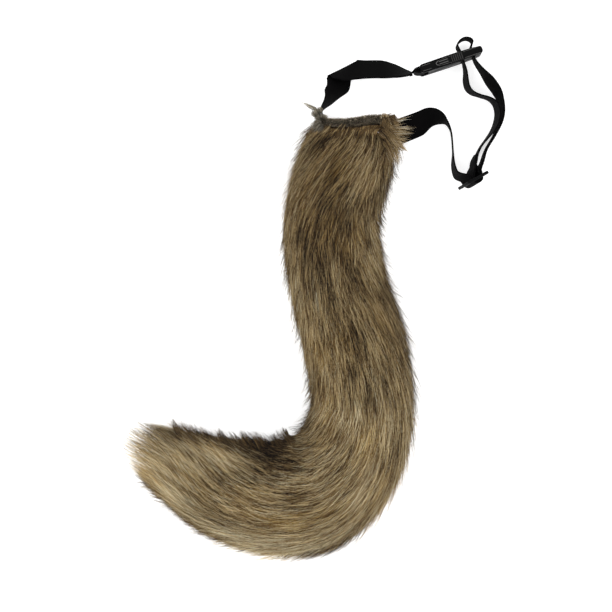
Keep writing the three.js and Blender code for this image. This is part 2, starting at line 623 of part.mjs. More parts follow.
// The webbing from one row to another of a whole route, grown on every side for a pocket's clearance.
// Where its rulings lie slanting across it, as at a fold, they are longer than the webbing is wide.
function ribbon(route, first, last, grow) {
  const steps = Math.max((last - first) * 3, 1);
  const strip = new THREE.BoxGeometry(1, 1, 1, steps, 1, 1);
  const line = new THREE.CatmullRomCurve3(route.map((row) => row.point), false, "centripetal");
  const sides = new THREE.CatmullRomCurve3(route.map((row) => row.side), false, "centripetal");
  shaped(strip, (v) => {
    const place = (first + (v.x + 0.5) * (last - first)) / (route.length - 1);
    const along = line.getTangent(place);
    const side = sides.getPoint(place).normalize();
    const normal = new THREE.Vector3().crossVectors(along, side);
    const slant = Math.max(normal.length(), LEAST_SLANT);
    const point = line.getPoint(place).addScaledVector(side, (v.y * (STRAP_WIDTH + grow * 2)) / slant);
    point.addScaledVector(normal.normalize(), v.z * (STRAP_THICKNESS + grow * 2));
    return place === 0 ? point.addScaledVector(along, -grow) : point;
  });
  return solidOf(strip);
}

// Webbing as one body, made of stretches of rows that follow on
function webbing(stretches) {
  const route = stretches.flat();
  let first = 0;
  const bodies = stretches.map((stretch) => {
    const last = Math.min(first + stretch.length, route.length - 1);
    const body = ribbon(route, first, last, 0);
    first = last;
    return body;
  });
  return mainBody(joined(bodies));
}

// Rows of a strap's end that is sewn inside the tail or its hem
function stubRows(at, degrees, length, row) {
  const heading = headingOf(degrees);
  const rowOff = (off) => rowAt(at.x + heading.x * off, at.y + heading.y * off, row);
  return [rowOff(length), rowOff(length * STUB_MIDDLE)];
}

function shortStrapRoute() {
  const stub = stubRows(SHORT_STRAP_AT, SHORT_STUB_TURN, SHORT_STUB, SHORT_STRAP[0]);
  const free = rowsBetween(SHORT_STRAP_AT, BUCKLE_AT, SHORT_STRAP);
  const bar = SOCKET_BAR / 2;
  const off = bar + GAP + STRAP_THICKNESS / 2;
  const near = [rowIn(BUCKLE, -SOCKET_LEAD, bar), rowIn(BUCKLE, -SOCKET_NEAR, off)];
  const round = rowsRound(BUCKLE, SOCKET_BAR_AT, bar, bar, 0, 90, -90);
  const back = [rowIn(BUCKLE, -SOCKET_NEAR, -bar)];
  const lap = rowsLaidOn([...free.slice(-1), ...near]);
  const end = rowIn(BUCKLE, -SOCKET_LEAD, bar - STRAP_THICKNESS * SEAM);
  return [[...stub, ...free, ...near, ...round], [...back, end, ...lap.slice(2)]];
}

function longStrapRoute() {
  const stub = stubRows(LONG_STRAP_AT, LONG_STUB_TURN, LONG_STUB, TAIL_STRAND[0]);
  const free = rowsBetween(LONG_STRAP_AT, SLIDER_AT, TAIL_STRAND);
  const toSlider = [...free, rowIn(SLIDER, -SLIDER_LEAD, SLIDER_RISE)];
  const halfBar = SLIDER_BAR / 2;
  const halfThick = SLIDER_THICKNESS / 2;
  const through = rowsRound(SLIDER, 0, halfBar, halfThick, 1, 180, 360);
  const outer = [rowIn(SLIDER, SLIDER_LEAVE, SLIDER_RISE), ...strandRows(OUTER_STRAND)];
  const loop = TAKE_UP.map((row) => {
    return rowIn(BUCKLE, mix(FIRST_SLOT, SECOND_SLOT, row.place), row.rise * TAKE_UP_LOOP);
  });
  const clear = SOCKET_THICKNESS * LOOP_FACE;
  const below = SOCKET_THICKNESS * LOOP_BACK;
  const over = [
    rowIn(BUCKLE, SECOND_SLOT, -below),
    rowIn(BUCKLE, SECOND_SLOT, clear),
    ...loop,
    rowIn(BUCKLE, FIRST_SLOT, clear),
    rowIn(BUCKLE, FIRST_SLOT, -below),
  ];
  const inner = [...strandRows(INNER_STRAND), rowIn(SLIDER, 0, INNER_RISE)];
  const round = rowsRound(SLIDER, 0, halfBar, halfThick, 0, 180, 360);
  const back = [rowIn(SLIDER, SEWN_LEAVE, SEWN_RISE)];
  const lap = rowsLaidOn(inner.slice(-SEWN_ROWS - 1));
  return [[...stub, ...toSlider, ...through], outer, over, inner, [...round, ...back, ...lap]];
}

// The pocket that a strap's sewn end and the fur beside it leave free
function pocket(route, rows) {
  return ribbon(route.flat(), 0, rows, GAP);
}

const shortStrap = shortStrapRoute();
const longStrap = longStrapRoute();
const pockets = pocket(shortStrap, 4).add(pocket(longStrap, 5));
const [hem, hemSpace] = [0, GAP].map((grow) => {
  return joined([hemRoll(grow), ...CORNER_TUFTS.map((row) => tuft(row, grow))]);
});
const tail = joined([stuffedSleeve(), ...furLocks(), ...SIDE_TUFTS.map((row) => tuft(row, 0))]);

const costumeTail = new THREE.Group();
costumeTail.add(meshOf("fur_tail", mainBody(tail.subtract(hemSpace).subtract(pockets)), "fur"));
costumeTail.add(meshOf("top_hem", mainBody(hem.subtract(pockets)), "cloth"));
costumeTail.add(meshOf("strap_short", webbing(shortStrap), "webbing"));
costumeTail.add(meshOf("strap_long", webbing(longStrap), "webbing"));

const buckle = new THREE.Group();
buckle.applyMatrix4(BUCKLE);
buckle.add(meshOf("buckle_socket", buckleSocket(), "plastic"));
buckle.add(meshOf("buckle_plug", bucklePlug(), "plastic"));
costumeTail.add(buckle);

const adjuster = meshOf("slider", slider(), "plastic");
adjuster.applyMatrix4(SLIDER);
costumeTail.add(adjuster);

// The footprint's middle goes to the origin
const footprint = new THREE.Box3().setFromObject(costumeTail);
const middle = footprint.getCenter(new THREE.Vector3());
costumeTail.position.set(-middle.x, -middle.y, -footprint.min.z);

export default costumeTail;
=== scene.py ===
"""A costume animal tail lying flat, with its waist belt on edge beside it: long mottled fur over a stuffed
sleeve, a short-pile hem, black webbing, a side-release buckle and a sliding adjuster, with a pale floor,
soft light and a camera looking straight down. Tables and lengths in the code are in millimetres, and the
lengths among the settings are in metres."""

import math

import bpy
import numpy as np
from bpy.props import FloatProperty, FloatVectorProperty, IntProperty, PointerProperty
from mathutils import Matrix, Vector, kdtree


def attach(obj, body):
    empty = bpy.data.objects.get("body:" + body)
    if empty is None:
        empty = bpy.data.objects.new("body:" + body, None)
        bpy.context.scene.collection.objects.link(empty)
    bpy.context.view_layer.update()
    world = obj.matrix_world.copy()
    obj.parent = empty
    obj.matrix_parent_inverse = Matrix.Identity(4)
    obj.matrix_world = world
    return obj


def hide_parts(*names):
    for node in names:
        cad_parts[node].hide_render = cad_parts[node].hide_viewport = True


bl_info = {
    "name": "Costume Tail",
    "version": (1, 0, 0),
    "blender": (4, 5, 0),
    "location": "View3D > Sidebar > Costume Tail",
    "description": "Dresses a costume tail and its waist belt with fur, webbing and moulded plastic",
    "category": "Object",
}

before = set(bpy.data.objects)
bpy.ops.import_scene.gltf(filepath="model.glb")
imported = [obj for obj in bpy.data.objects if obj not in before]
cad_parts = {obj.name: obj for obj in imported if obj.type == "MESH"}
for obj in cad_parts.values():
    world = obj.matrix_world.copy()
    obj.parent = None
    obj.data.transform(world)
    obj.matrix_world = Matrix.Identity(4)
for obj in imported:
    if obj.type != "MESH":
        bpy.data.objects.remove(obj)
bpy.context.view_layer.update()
MM = 0.001
HEM_AT = np.array([35.782, 176.280, 0.0])  # middle of the hem, where the tables start from

# Sizes of the tail and hem
TAIL_DROP, TAIL_REACH, FUR_WIDTH, FUR_HEIGHT = 376, 229, 112, 76
PILE_DEPTH, LOCK_LENGTH, LOCK_WIDTH, TIP_SLANT = 11, 54, 26, 0.3
SLEEVE_END, MIDDLE_RISE, BELLY = 0.91, 0.42, 0.5
HEM_LENGTH, HEM_DEPTH, HEM_HEIGHT, HEM_DIP = 76, 10.5, 32, 3
HEM_TAPER, HEM_ROUND = 0.3, 0.7
HEM_PILE, HEM_EDGE, FRINGE_TUFTS = 8000, 2400, 110  # hairs on and below the hem, tufts of the fringe
HEM_WAYS, HEM_SHIFTS = (-1, -0.85, -0.3, 0, 0.4, 1), (-2.4, -2.3, -1.7, -0.2, 1.8, 0.6)  # how its line runs
TUFT_THICKNESS = 5
LEFT_END = -241.5  # no hair goes further left

# Sizes of the belt
STRAP_WIDTH, STRAP_THICKNESS = 25, 1.5
SHORT_STUB, LONG_STUB, STUB_MIDDLE, LEAST_SLANT, GAP, SEAM = 9, 20, 0.6, 0.6, 0.3, 0.9
SOCKET_BAR, SOCKET_THICKNESS, SOCKET_SIDE_END, SOCKET_LENGTH = 3.4, 9.6, 1.2, 31.5
BUCKLE_WIDTH, BUTTON_PROUD, PLUG_SHOULDER, PLUG_BAR = 33, 0.9, 10.5, 8.2
SOCKET_LEAD, SOCKET_NEAR = 5.5, 2.5
SLOT = STRAP_THICKNESS + 2
SLIDER_LENGTH, SLIDER_WIDTH, SLIDER_THICKNESS, SLIDER_BAR = 25, 32, 3.2, 6
BUCKLE_AT, BUCKLE_TURN, BUCKLE_LEAN = (65, 49.6), 18.5, 1
SLIDER_AT, SLIDER_TURN, SLIDER_TILT = (118.7, -60.2), 29.5, 20
SHORT_STRAP_AT, LONG_STRAP_AT = (-33.5, 11), (50, -9)
STRAND_BOW, TAKE_UP_LOOP, SEWN_ROWS = 33, 15.2, 2
SHORT_STUB_TURN, LONG_STUB_TURN, LONG_STUB_SUNK = -80, 202, (10, 5)
SLIDER_ENTRY, SLIDER_EXIT, SLIDER_OVER, SLIDER_LAP = (-6.4, 5), (7.4, 5), (0, 6.5), (4.6, 3.2)
CLEAR_OF_PLUG, BELOW_PLUG = 0.56, 0.8  # shares of the socket's thickness
SOCKET_BAR_AT = SOCKET_SIDE_END + SOCKET_BAR / 2
PLUG_START = SOCKET_LENGTH + GAP
FIRST_SLOT = PLUG_START + PLUG_SHOULDER + SLOT / 2
SECOND_SLOT = FIRST_SLOT + SLOT + PLUG_BAR

# How the fur grows: shares of the tail's length, angles in degrees
ROOTS_FROM, FUR_FROM, ROOTS_TO = 0.012, 0.014, SLEEVE_END + 0.02
UPPER_SIDE, UNDERSIDE, UNDERSIDE_PART = (-42, 222), (222, 318), 0.06
HAIR_POINTS, HAIR_TAPER, HAIR_LOWEST, WARM_STEPS = 3, 0.75, 0.3, 5
WISP_TURN, LOCK_TURN, HAIR_TURN = 0.12, 0.025, 0.05
WISP_GATHER, WISP_POWER, LOCK_GATHER, LOCK_POWER = 0.15, 1.1, 0.07, 1.3
LENGTHS = (0.85, 1.12)  # of one hair or wisp against the next
SHADES = (0.0, 0.25, 0.5, 0.75, 1.0)  # tones of the five colours of a fur
CORNER_GREY, PALE_TUFT = (0.155, 0.132, 0.098), (0.78, 0.72, 0.58)

# Small relief on the buckle, in its own frame: middles, half lengths and sizes
RIB_COUNT, RIB_PITCH, RIB = 6, 2.1, (0.9, 7.6, 0.7)
WINDOW_AT, WINDOW_LONG, WINDOW_DEEP = 24, 7.2, 3.5
RIM_WIDTH, RIM_HEIGHT, RIM_TOP = 4.4, 5, 16.4
TACKS = [(-2.2, 0, 0, 2.6, 2.0, 23), (-10.2, -1.5, 9.5, 3.0, 2.8, 3.0)]

# The stage. A light has its place in metres and its share of the main light's power
VIEW_MIDDLE = (-49.23, -186.33)  # from the hem's middle
LIGHTS = [("Key", (-0.6, 1.1, 1.9), 1.0), ("Fill", (1.2, -0.5, 1.6), 0.45)]
LIGHT_SIZE, FLOOR_SIZE, SENSOR, VIEW_DEPTH = 2.0, 12, 36, 50

# The tail's sections: left, down, wide, high, comb
SECTIONS = [
    (0.0, 0.0, 0.79, 0.45, 8),
    (0.015, 0.05, 0.9, 0.56, 14),
    (0.055, 0.12, 0.935, 0.7, 16),
    (0.112, 0.275, 0.925, 0.86, 8),
    (0.082, 0.435, 0.94, 0.94, 0),
    (0.01, 0.6, 0.985, 0.97, -4),
    (-0.022, 0.75, 0.98, 1.0, -2),
    (-0.005, 0.83, 1.01, 1.0, 2),
    (0.06, 0.92, 1.07, 1.0, 4),
    (0.18, 0.985, 1.12, 0.98, 4),
    (0.34, 1.003, 1.09, 0.95, 10),
    (0.495, 0.991, 1.02, 0.9, 16),
    (0.635, 0.967, 0.93, 0.81, 24),
    (0.765, 0.931, 0.77, 0.69, 26),
    (0.885, 0.89, 0.62, 0.56, 24),
    (0.995, 0.856, 0.46, 0.42, 18),
]
# Rows of the webbing's middle line: along, up, lift, side x, side y
SHORT_STRAP = [
    (0.0, 0.0, 0.16, -0.05, 0.0),
    (0.064, 0.197, 0.13, -0.3, 0.02),
    (0.117, 0.389, 0.14, -0.55, 0.03),
    (0.168, 0.611, 0.13, -0.84, 0.02),
    (0.18, 0.819, 0.1, -0.94, -0.12),
    (0.184, 0.984, 0.08, -0.91, -0.38),
    (0.192, 1.067, 0.15, -0.88, -0.44),
    (0.216, 1.052, 0.22, -0.8, -0.55),
    (0.274, 1.041, 0.2, -0.55, -0.7),
    (0.36, 1.06, 0.12, -0.17, -0.8),
    (0.452, 1.07, 0.06, 0.0, -0.77),
    (0.609, 1.073, 0.05, 0.0, -0.76),
    (0.734, 1.031, 0.07, 0.0, -0.6),
    (0.827, 0.982, 0.13, 0.0, -0.42),
    (0.892, 0.959, 0.16, 0.0, -0.26),
]
TAIL_STRAND = [
    (0.0, 0.0, 0.62, -0.37, 0.92),
    (0.224, -0.12, 0.5, -0.11, 0.94),
    (0.41, -0.25, 0.22, -0.02, 0.67),
    (0.533, -0.225, 0.06, 0.1, 0.36),
    (0.618, -0.142, 0.02, 0.0, 0.05),
    (0.678, 0.021, 0.02, -0.06, 0.01),
    (0.708, 0.43, 0.04, -0.05, 0.0),
    (0.712, 0.7, 0.14, 0.06, 0.03),
    (0.755, 0.89, 0.25, 0.12, 0.15),
]
# The same between the adjuster and the plug: up, out, lift, side x, side y
OUTER_STRAND = [
    (0.138, 0.281, 0.16, 0.09, 0.04),
    (0.244, 0.441, 0.06, 0.04, 0.01),
    (0.366, 0.734, 0.03, 0.06, 0.01),
    (0.484, 0.963, 0.02, 0.07, 0.0),
    (0.57, 1.025, 0.02, 0.07, 0.01),
    (0.638, 0.987, 0.02, 0.13, 0.04),
    (0.717, 0.875, 0.05, 0.24, 0.12),
    (0.792, 0.683, 0.12, 0.2, 0.2),
    (0.868, 0.456, 0.2, 0.05, 0.12),
]
INNER_STRAND = [
    (0.873, -0.074, 0.22, 0.05, 0.03),
    (0.798, -0.064, 0.14, 0.12, 0.02),
    (0.743, -0.017, 0.08, 0.11, 0.04),
    (0.707, 0.103, 0.04, 0.05, 0.04),
    (0.68, 0.353, 0.02, 0.0, 0.01),
    (0.657, 0.627, 0.02, 0.03, 0.02),
    (0.618, 0.801, 0.02, 0.1, 0.05),
    (0.549, 0.87, 0.02, 0.15, 0.01),
    (0.475, 0.819, 0.02, 0.14, -0.03),
    (0.404, 0.693, 0.02, 0.1, -0.05),
    (0.337, 0.493, 0.02, 0.04, -0.02),
    (0.269, 0.285, 0.05, 0.02, 0.0),
    (0.205, 0.158, 0.11, 0.04, 0.02),
    (0.142, 0.064, 0.19, 0.14, 0.07),
]
# The loop on the plug: place between the slots, rise
TAKE_UP = [(1.3, 0.74), (1.12, 0.97), (0.75, 1.09), (0.3, 1.03), (-0.04, 0.8)]

# Where the fur's tone sits along the tail: share, at its left or inner flank, middle, right or outer flank
TONES = [
    (0.0, 0.56, 0.42, 0.42),
    (0.1, 0.6, 0.4, 0.44),
    (0.22, 0.62, 0.33, 0.42),
    (0.32, 0.62, 0.39, 0.47),
    (0.45, 0.56, 0.51, 0.57),
    (0.58, 0.42, 0.58, 0.67),
    (0.65, 0.16, 0.57, 0.7),
    (0.7, 0.1, 0.58, 0.79),
    (0.75, 0.0, 0.56, 0.85),
    (0.82, 0.14, 0.6, 0.82),
    (0.9, 0.42, 0.66, 0.75),
    (1.0, 0.5, 0.68, 0.74),
]
# Darker and paler patches: share, across from -1 at the left or inner flank, mm along, mm across, change
MOTTLES = [
    (0.06, -0.62, 26, 14, -0.16),
    (0.12, -0.1, 30, 9, -0.1),
    (0.16, 0.3, 26, 10, -0.08),
    (0.28, 0.42, 20, 12, -0.14),
    (0.3, -0.85, 60, 8, 0.08),
    (0.42, -0.85, 40, 7, -0.08),
    (0.5, 0.0, 40, 10, 0.06),
    (0.73, -0.95, 32, 16, -0.3),
    (0.74, -0.5, 30, 17, -0.26),
    (0.88, -0.3, 34, 5, -0.2),
    (0.86, -0.05, 40, 6, 0.08),
    (0.84, -0.9, 34, 9, -0.16),
    (0.9, 0.5, 30, 8, -0.1),
    (0.66, 0.7, 50, 14, 0.06),
]
# Tufts round the hem's corners: x, y, z, turn, rise, long, wide, how far its hairs fan out, tone, count
TUFTS = [
    (-1.08, 1.0, 0.92, 152, 3, 0.26, 0.1, -0.3, 0.72, 60),
    (-1.02, 0.75, 0.98, 126, 2, 0.06, 0.32, 0.2, 0.5, 280),
    (-0.86, 0.42, 0.98, 80, 2, 0.03, 0.3, 0.0, 0.5, 160),
    (-1.0, 0.0, 0.98, 185, -4, 0.06, 0.4, 0.2, 0.5, 260),
    (-0.98, -0.6, 0.98, 225, -4, 0.16, 0.36, 0.3, 0.52, 160),
    (0.78, 0.3, 0.98, 92, 4, 0.03, 0.24, 0.3, 0.34, 90),
    (0.9, 0.18, 0.99, 58, 2, 0.04, 0.4, 0.3, 0.38, 200),
    (0.8, -0.2, 1.05, -94, -2, 0.16, 0.3, 0.2, 0.24, 150),
    (0.9, -0.1, 1.06, -70, -2, 0.2, 0.5, 0.2, 0.26, 260),
    (0.96, -0.1, 1.02, 22, 0, 0.08, 0.36, 0.2, 0.3, 160),
    (0.98, -0.7, 1.04, 10, 0, 0.36, 0.6, 0.4, 0.62, 40),
    (0.94, -1.5, 1.05, -12, 0, 0.4, 0.6, 0.4, 0.58, 60),
    (0.84, -0.8, 1.05, -44, 0, 0.24, 0.7, 0.1, 0.25, 300),
    (0.88, -2.0, 1.03, -57, -2, 0.3, 0.6, 0.1, 0.32, 260),
    (0.9, -2.8, 0.98, -70, -5, 0.32, 0.5, 0.1, 0.4, 200),
    (1.12, -2.3, 0.92, -38, -5, 0.22, 0.2, -0.3, 0.44, 90),
]


def colour_setting(name, description, default):
    return FloatVectorProperty(
        name=name, description=description, size=3, subtype="COLOR", min=0, max=1, default=default
    )


def count_setting(name, description, default, least=0):
    return IntProperty(name=name, description=description, min=least, default=default)


def length_setting(name, description, default):
    return FloatProperty(name=name, description=description, unit="LENGTH", default=default)


def strength_setting(name, description, default):
    return FloatProperty(name=name, description=description, min=0, default=default)


class FurSettings(bpy.types.PropertyGroup):
    """Sizes, counts and colours of the fur"""

    black: colour_setting("Darkest", "Nearly black fur in the bend", (0.012, 0.008, 0.006))
    brown: colour_setting("Brown", "Dark brown fur", (0.135, 0.08, 0.035))
    tan: colour_setting("Tan", "Middling fur", (0.4, 0.27, 0.122))
    sand: colour_setting("Sand", "Pale fur", (0.72, 0.53, 0.275))
    cream: colour_setting("Cream", "Palest hair tips", (0.97, 0.83, 0.55))
    hem: colour_setting("Hem", "Middle colour of the hem's short pile", (0.142, 0.118, 0.086))
    under_count: count_setting("Underfur", "Hairs in the dense lower fur", 20000)
    guard_count: count_setting("Guard hairs", "Hairs in the outer fur", 46500)
    top_count: count_setting("Top hairs", "Single dark and pale hairs on top", 5200)
    fringe_count: count_setting("Fringe", "Dark hairs up along the tip's inner edge", 1300)
    stray_count: count_setting("Stray hairs", "Fine hairs that stand off", 3600)
    locks: count_setting("Locks", "Locks that the wisps gather in", 2200, 1)
    wisps: count_setting("Wisps", "Wisps that the hairs gather in", 28000, 1)
    under_length: length_setting("Underfur length", "Length of an underfur hair", 0.030)
    guard_length: length_setting("Guard length", "Length of a guard hair", 0.036)
    hair_width: length_setting("Hair width", "Width of a hair at its root", 0.00045)


class BeltSettings(bpy.types.PropertyGroup):
    """Colours of the belt"""

    webbing: colour_setting("Webbing", "Colour of the woven belt", (0.0012, 0.0011, 0.0012))
    plastic: colour_setting("Plastic", "Colour of the buckle and adjuster", (0.0024, 0.0024, 0.0025))
    # A pale colour painted on the buckle's edges, lines, ribs and window rims as highlight, where light would
    # catch the black plastic.
    painted_highlight: colour_setting("Painted plastic highlight", "Colour painted on the plastic's edges as highlight", (0.07, 0.068, 0.066))
    edge: length_setting("Edge", "Rounding of the plastic's edges", 0.00035)


class StageSettings(bpy.types.PropertyGroup):
    """Floor, light and camera"""

    floor: colour_setting("Floor", "Colour of the floor", (0.62, 0.62, 0.62))
    key: strength_setting("Key light", "Power of the main light", 11)
    sky: strength_setting("Sky", "Strength of the light from all round", 1.55)
    glow: strength_setting("Floor glow", "Light from under the floor", 0.62)
    height: length_setting("Camera height", "Height of the camera above the floor", 2.2)
    view_width: length_setting("View width", "Width of floor that the camera takes in", 0.62)


# Lines through rows of numbers


def line_through(rows, place):
    """Points of a centripetal curve through rows, at places from 0 to 1."""
    p = np.asarray(rows, float)
    at = np.clip(place, 0, 1) * (len(p) - 1)
    i = np.minimum(at.astype(int), len(p) - 2)
    w = (at - i)[:, None]
    more = np.vstack([2 * p[0] - p[1], p, 2 * p[-1] - p[-2]])
    a, b, c, d = (more[i + k] for k in range(4))
    near, mid, far = (np.sum((x - y) ** 2, 1, keepdims=True) ** 0.25 for x, y in ((a, b), (b, c), (c, d)))
    mid = np.where(mid < 1e-4, 1, mid)
    near = np.where(near < 1e-4, mid, near)
    far = np.where(far < 1e-4, mid, far)
    first = ((b - a) / near - (c - a) / (near + mid) + (c - b) / mid) * mid
    last = ((c - b) / mid - (d - b) / (mid + far) + (d - c) / far) * mid
    return b + w * first + w**2 * (3 * (c - b) - 2 * first - last) + w**3 * (2 * (b - c) + first + last)


def unit(v):
    return v / np.maximum(np.linalg.norm(v, axis=-1, keepdims=True), 1e-9)


def turned(degrees):
    return np.array([math.cos(math.radians(degrees)), math.sin(math.radians(degrees)), 0.0])


# The tail's middle line in even steps, with its sections
STEPS = np.linspace(0, 1, 1201)
SPINE = line_through([(-r[0] * TAIL_REACH, -r[1] * TAIL_DROP, 0) for r in SECTIONS], STEPS)
RUN = np.concatenate([[0], np.cumsum(np.linalg.norm(np.diff(SPINE, axis=0), axis=1))])
TAIL_LENGTH = RUN[-1]
SHARES = RUN / TAIL_LENGTH
TANGENT = unit(np.gradient(SPINE, axis=0))


def section_at(share):
    """Width, height and comb of the tail at shares of its length."""
    place = np.interp(share, SHARES, STEPS) * (len(SECTIONS) - 1)
    rows = np.arange(len(SECTIONS))
    wide, high, comb = (np.interp(place, rows, [r[k] for r in SECTIONS]) for k in (2, 3, 4))
    return wide * FUR_WIDTH, high * FUR_HEIGHT, np.radians(comb)


def tail_point(share, angle, depth):
    """Points of the tail, depth inside the fur's outer face, at shares along it and angles round it."""
    inside = np.clip(share, 0, 1)
    wide, high, _ = section_at(inside)
    along = unit(np.stack([np.interp(inside, SHARES, TANGENT[:, k]) for k in range(3)], -1))
    side = np.stack([-along[..., 1], along[..., 0], 0 * along[..., 0]], -1)
    widest = high * MIDDLE_RISE
    above = np.maximum(high - widest - depth, 1)
    rise = np.where(np.sin(angle) > 0, above, high * BELLY)
    point = np.stack([np.interp(inside, SHARES, SPINE[:, k]) for k in range(3)], -1)
    point += along * ((share - inside) * TAIL_LENGTH)[..., None]
    point += side * (np.maximum(wide / 2 - depth, 1) * np.cos(angle))[..., None]
    point[..., 2] = widest + np.sin(angle) * rise
    return point


def outward(share, angle):
    """Which way the tail's surface faces."""
    a = tail_point(share, angle, np.zeros_like(share))
    b = tail_point(share, angle, np.full_like(share, 4.0))
    return unit(a - b + [0, 0, 1e-3])


# Making pieces


def deselect():
    bpy.ops.object.select_all(action="DESELECT")


def points_of(mesh):
    co = np.empty(len(mesh.vertices) * 3, np.float32)
    mesh.vertices.foreach_get("co", co)
    return co.reshape(-1, 3).astype(float)


def move_points(mesh, verts):
    """Puts a mesh's points at verts, which are in mm from the hem's middle."""
    mesh.vertices.foreach_set("co", ((verts + HEM_AT) * MM).astype(np.float32).ravel())


def rounded_roll(name, segments, rings, rounding):
    """A closed roll to shape. Also each point's share along it, angle round it and fullness at its ends."""
    deselect()
    bpy.ops.mesh.primitive_uv_sphere_add(segments=segments, ring_count=rings, radius=1)
    piece = bpy.context.object
    piece.name = piece.data.name = name
    co = points_of(piece.data)
    share = np.arccos(np.clip(co[:, 2], -1, 1)) / math.pi
    end = np.clip(np.minimum(share, 1 - share) / rounding, 0, 1)
    return piece, share, np.arctan2(co[:, 1], co[:, 0]), np.sqrt(1 - (1 - end) ** 2)


def turn_outward():
    """Turns the faces of the active piece outward and shades it smooth."""
    bpy.ops.object.mode_set(mode="EDIT")
    bpy.ops.mesh.select_all(action="SELECT")
    bpy.ops.mesh.normals_make_consistent(inside=False)
    bpy.ops.object.mode_set(mode="OBJECT")
    bpy.ops.object.shade_smooth()


def round_edges(piece, width, segments, degrees):
    bevel = piece.modifiers.new("Edges", "BEVEL")
    bevel.width, bevel.segments, bevel.limit_method = width, segments, "ANGLE"
    bevel.angle_limit = math.radians(degrees)
    bpy.ops.object.modifier_apply(modifier=bevel.name)


def joined(name, pieces):
    """Pieces made one, in the first of them."""
    for each in pieces:
        each.select_set(True)
    bpy.context.view_layer.objects.active = pieces[0]
    bpy.ops.object.join()
    piece = bpy.context.object
    piece.name = piece.data.name = name
    return piece


def dress(piece, look, slot, *nodes):
    """Gives a finished piece its material and body, and hides the nodes that it stands for. Its slot is not
    used.
    """
    piece.data.materials.clear()
    piece.data.materials.append(look)
    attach(piece, "root")
    if nodes:
        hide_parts(*nodes)


def new_look(name, roughness, specular):
    look = bpy.data.materials.new(name)
    look.use_nodes = True
    shader = look.node_tree.nodes["Principled BSDF"]
    shader.inputs["Roughness"].default_value = roughness
    shader.inputs["Specular IOR Level"].default_value = specular
    return look, look.node_tree, shader


def plain_look(name, colour, roughness, specular):
    look, _, shader = new_look(name, roughness, specular)
    shader.inputs["Base Color"].default_value = (*colour, 1)
    return look


def scaled(colour, by):
    return [c * by for c in colour]


def add(tree, kind, **values):
    node = tree.nodes.new(kind)
    for key, value in values.items():
        setattr(node, key, value)
    return node


def object_place(tree):
    return add(tree, "ShaderNodeTexCoord").outputs["Object"]


def attribute(tree, name):
    return add(tree, "ShaderNodeAttribute", attribute_name=name).outputs["Fac"]


def noise(tree, place, scale, detail):
    node = add(tree, "ShaderNodeTexNoise")
    node.inputs["Scale"].default_value = scale
    node.inputs["Detail"].default_value = detail
    tree.links.new(place, node.inputs["Vector"])
    return node.outputs["Fac"]


def worked_out(tree, operation, source, by=0.0):
    """A sum, with its second number either typed or read from a socket."""
    node = add(tree, "ShaderNodeMath", operation=operation)
    tree.links.new(source, node.inputs[0])
    if isinstance(by, float):
        node.inputs[1].default_value = by
    else:
        tree.links.new(by, node.inputs[1])
    return node.outputs[0]


def in_range(tree, source, **ends):
    node = add(tree, "ShaderNodeMapRange")
    for key, value in ends.items():
        node.inputs[key.replace("_", " ").title()].default_value = value
    tree.links.new(source, node.inputs["Value"])
    return node.outputs["Result"]


def roughen(tree, shader, height, strength, distance):
    bump = add(tree, "ShaderNodeBump")
    bump.inputs["Strength"].default_value = strength
    bump.inputs["Distance"].default_value = distance
    tree.links.new(height, bump.inputs["Height"])
    tree.links.new(bump.outputs["Normal"], shader.inputs["Normal"])


def ramp(tree, source, stops):
    """A colour ramp of (place, colour) stops, read at source."""
    node = add(tree, "ShaderNodeValToRGB")
    points = node.color_ramp.elements
    while len(points) < len(stops):
        points.new(1)
    for point, (place, colour) in zip(points, stops):
        point.position = place
        point.color = (*colour, 1) if hasattr(colour, "__len__") else (colour, colour, colour, 1)
    tree.links.new(source, node.inputs["Fac"])
    return node.outputs["Color"]


def multiply(tree, a, b):
    node = add(tree, "ShaderNodeMix", data_type="RGBA", blend_type="MULTIPLY")
    node.inputs["Factor"].default_value = 1
    tree.links.new(a, node.inputs["A"])
    tree.links.new(b, node.inputs["B"])
    return node.outputs["Result"]


def fur_look(name, roots, colours=None):
    """Fur coloured by each hair's tone, with painted shade making it darker towards its root."""
    cfg = bpy.context.scene.tail_fur
    colours = colours or (cfg.black, cfg.brown, cfg.tan, cfg.sand, cfg.cream)
    look, tree, shader = new_look(name, 0.6, 0.1)
    body = ramp(tree, attribute(tree, "tone"), list(zip(SHADES, colours)))
    # Painted shade: each hair darkens towards its root, down to the share given as roots at the root itself.
    shade = ramp(tree, attribute(tree, "along"), [(0.0, roots), (0.35, 0.75), (0.8, 1.0), (1.0, 1.0)])
    tints = [(0.0, (0.88, 0.94, 1.0)), (0.5, (1.0, 1.0, 0.97)), (1.0, (1.0, 0.91, 0.62))]
    tint = ramp(tree, attribute(tree, "warm"), tints)
    tree.links.new(multiply(tree, multiply(tree, body, tint), shade), shader.inputs["Base Color"])
    return look


def mesh_object(name, verts, loops, sizes):
    """An object from arrays of points in mm, of corners' points and of faces' corner counts."""
    mesh = bpy.data.meshes.new(name)
    mesh.vertices.add(len(verts))
    move_points(mesh, verts)
    mesh.loops.add(len(loops))
    mesh.loops.foreach_set("vertex_index", loops.astype(np.int32))
    mesh.polygons.add(len(sizes))
    starts = np.concatenate([[0], np.cumsum(sizes)[:-1]])
    mesh.polygons.foreach_set("loop_start", starts.astype(np.int32))
    mesh.update(calc_edges=True)
    mesh.polygons.foreach_set("use_smooth", np.ones(len(sizes), bool))
    piece = bpy.data.objects.new(name, mesh)
    bpy.context.scene.collection.objects.link(piece)
    return piece


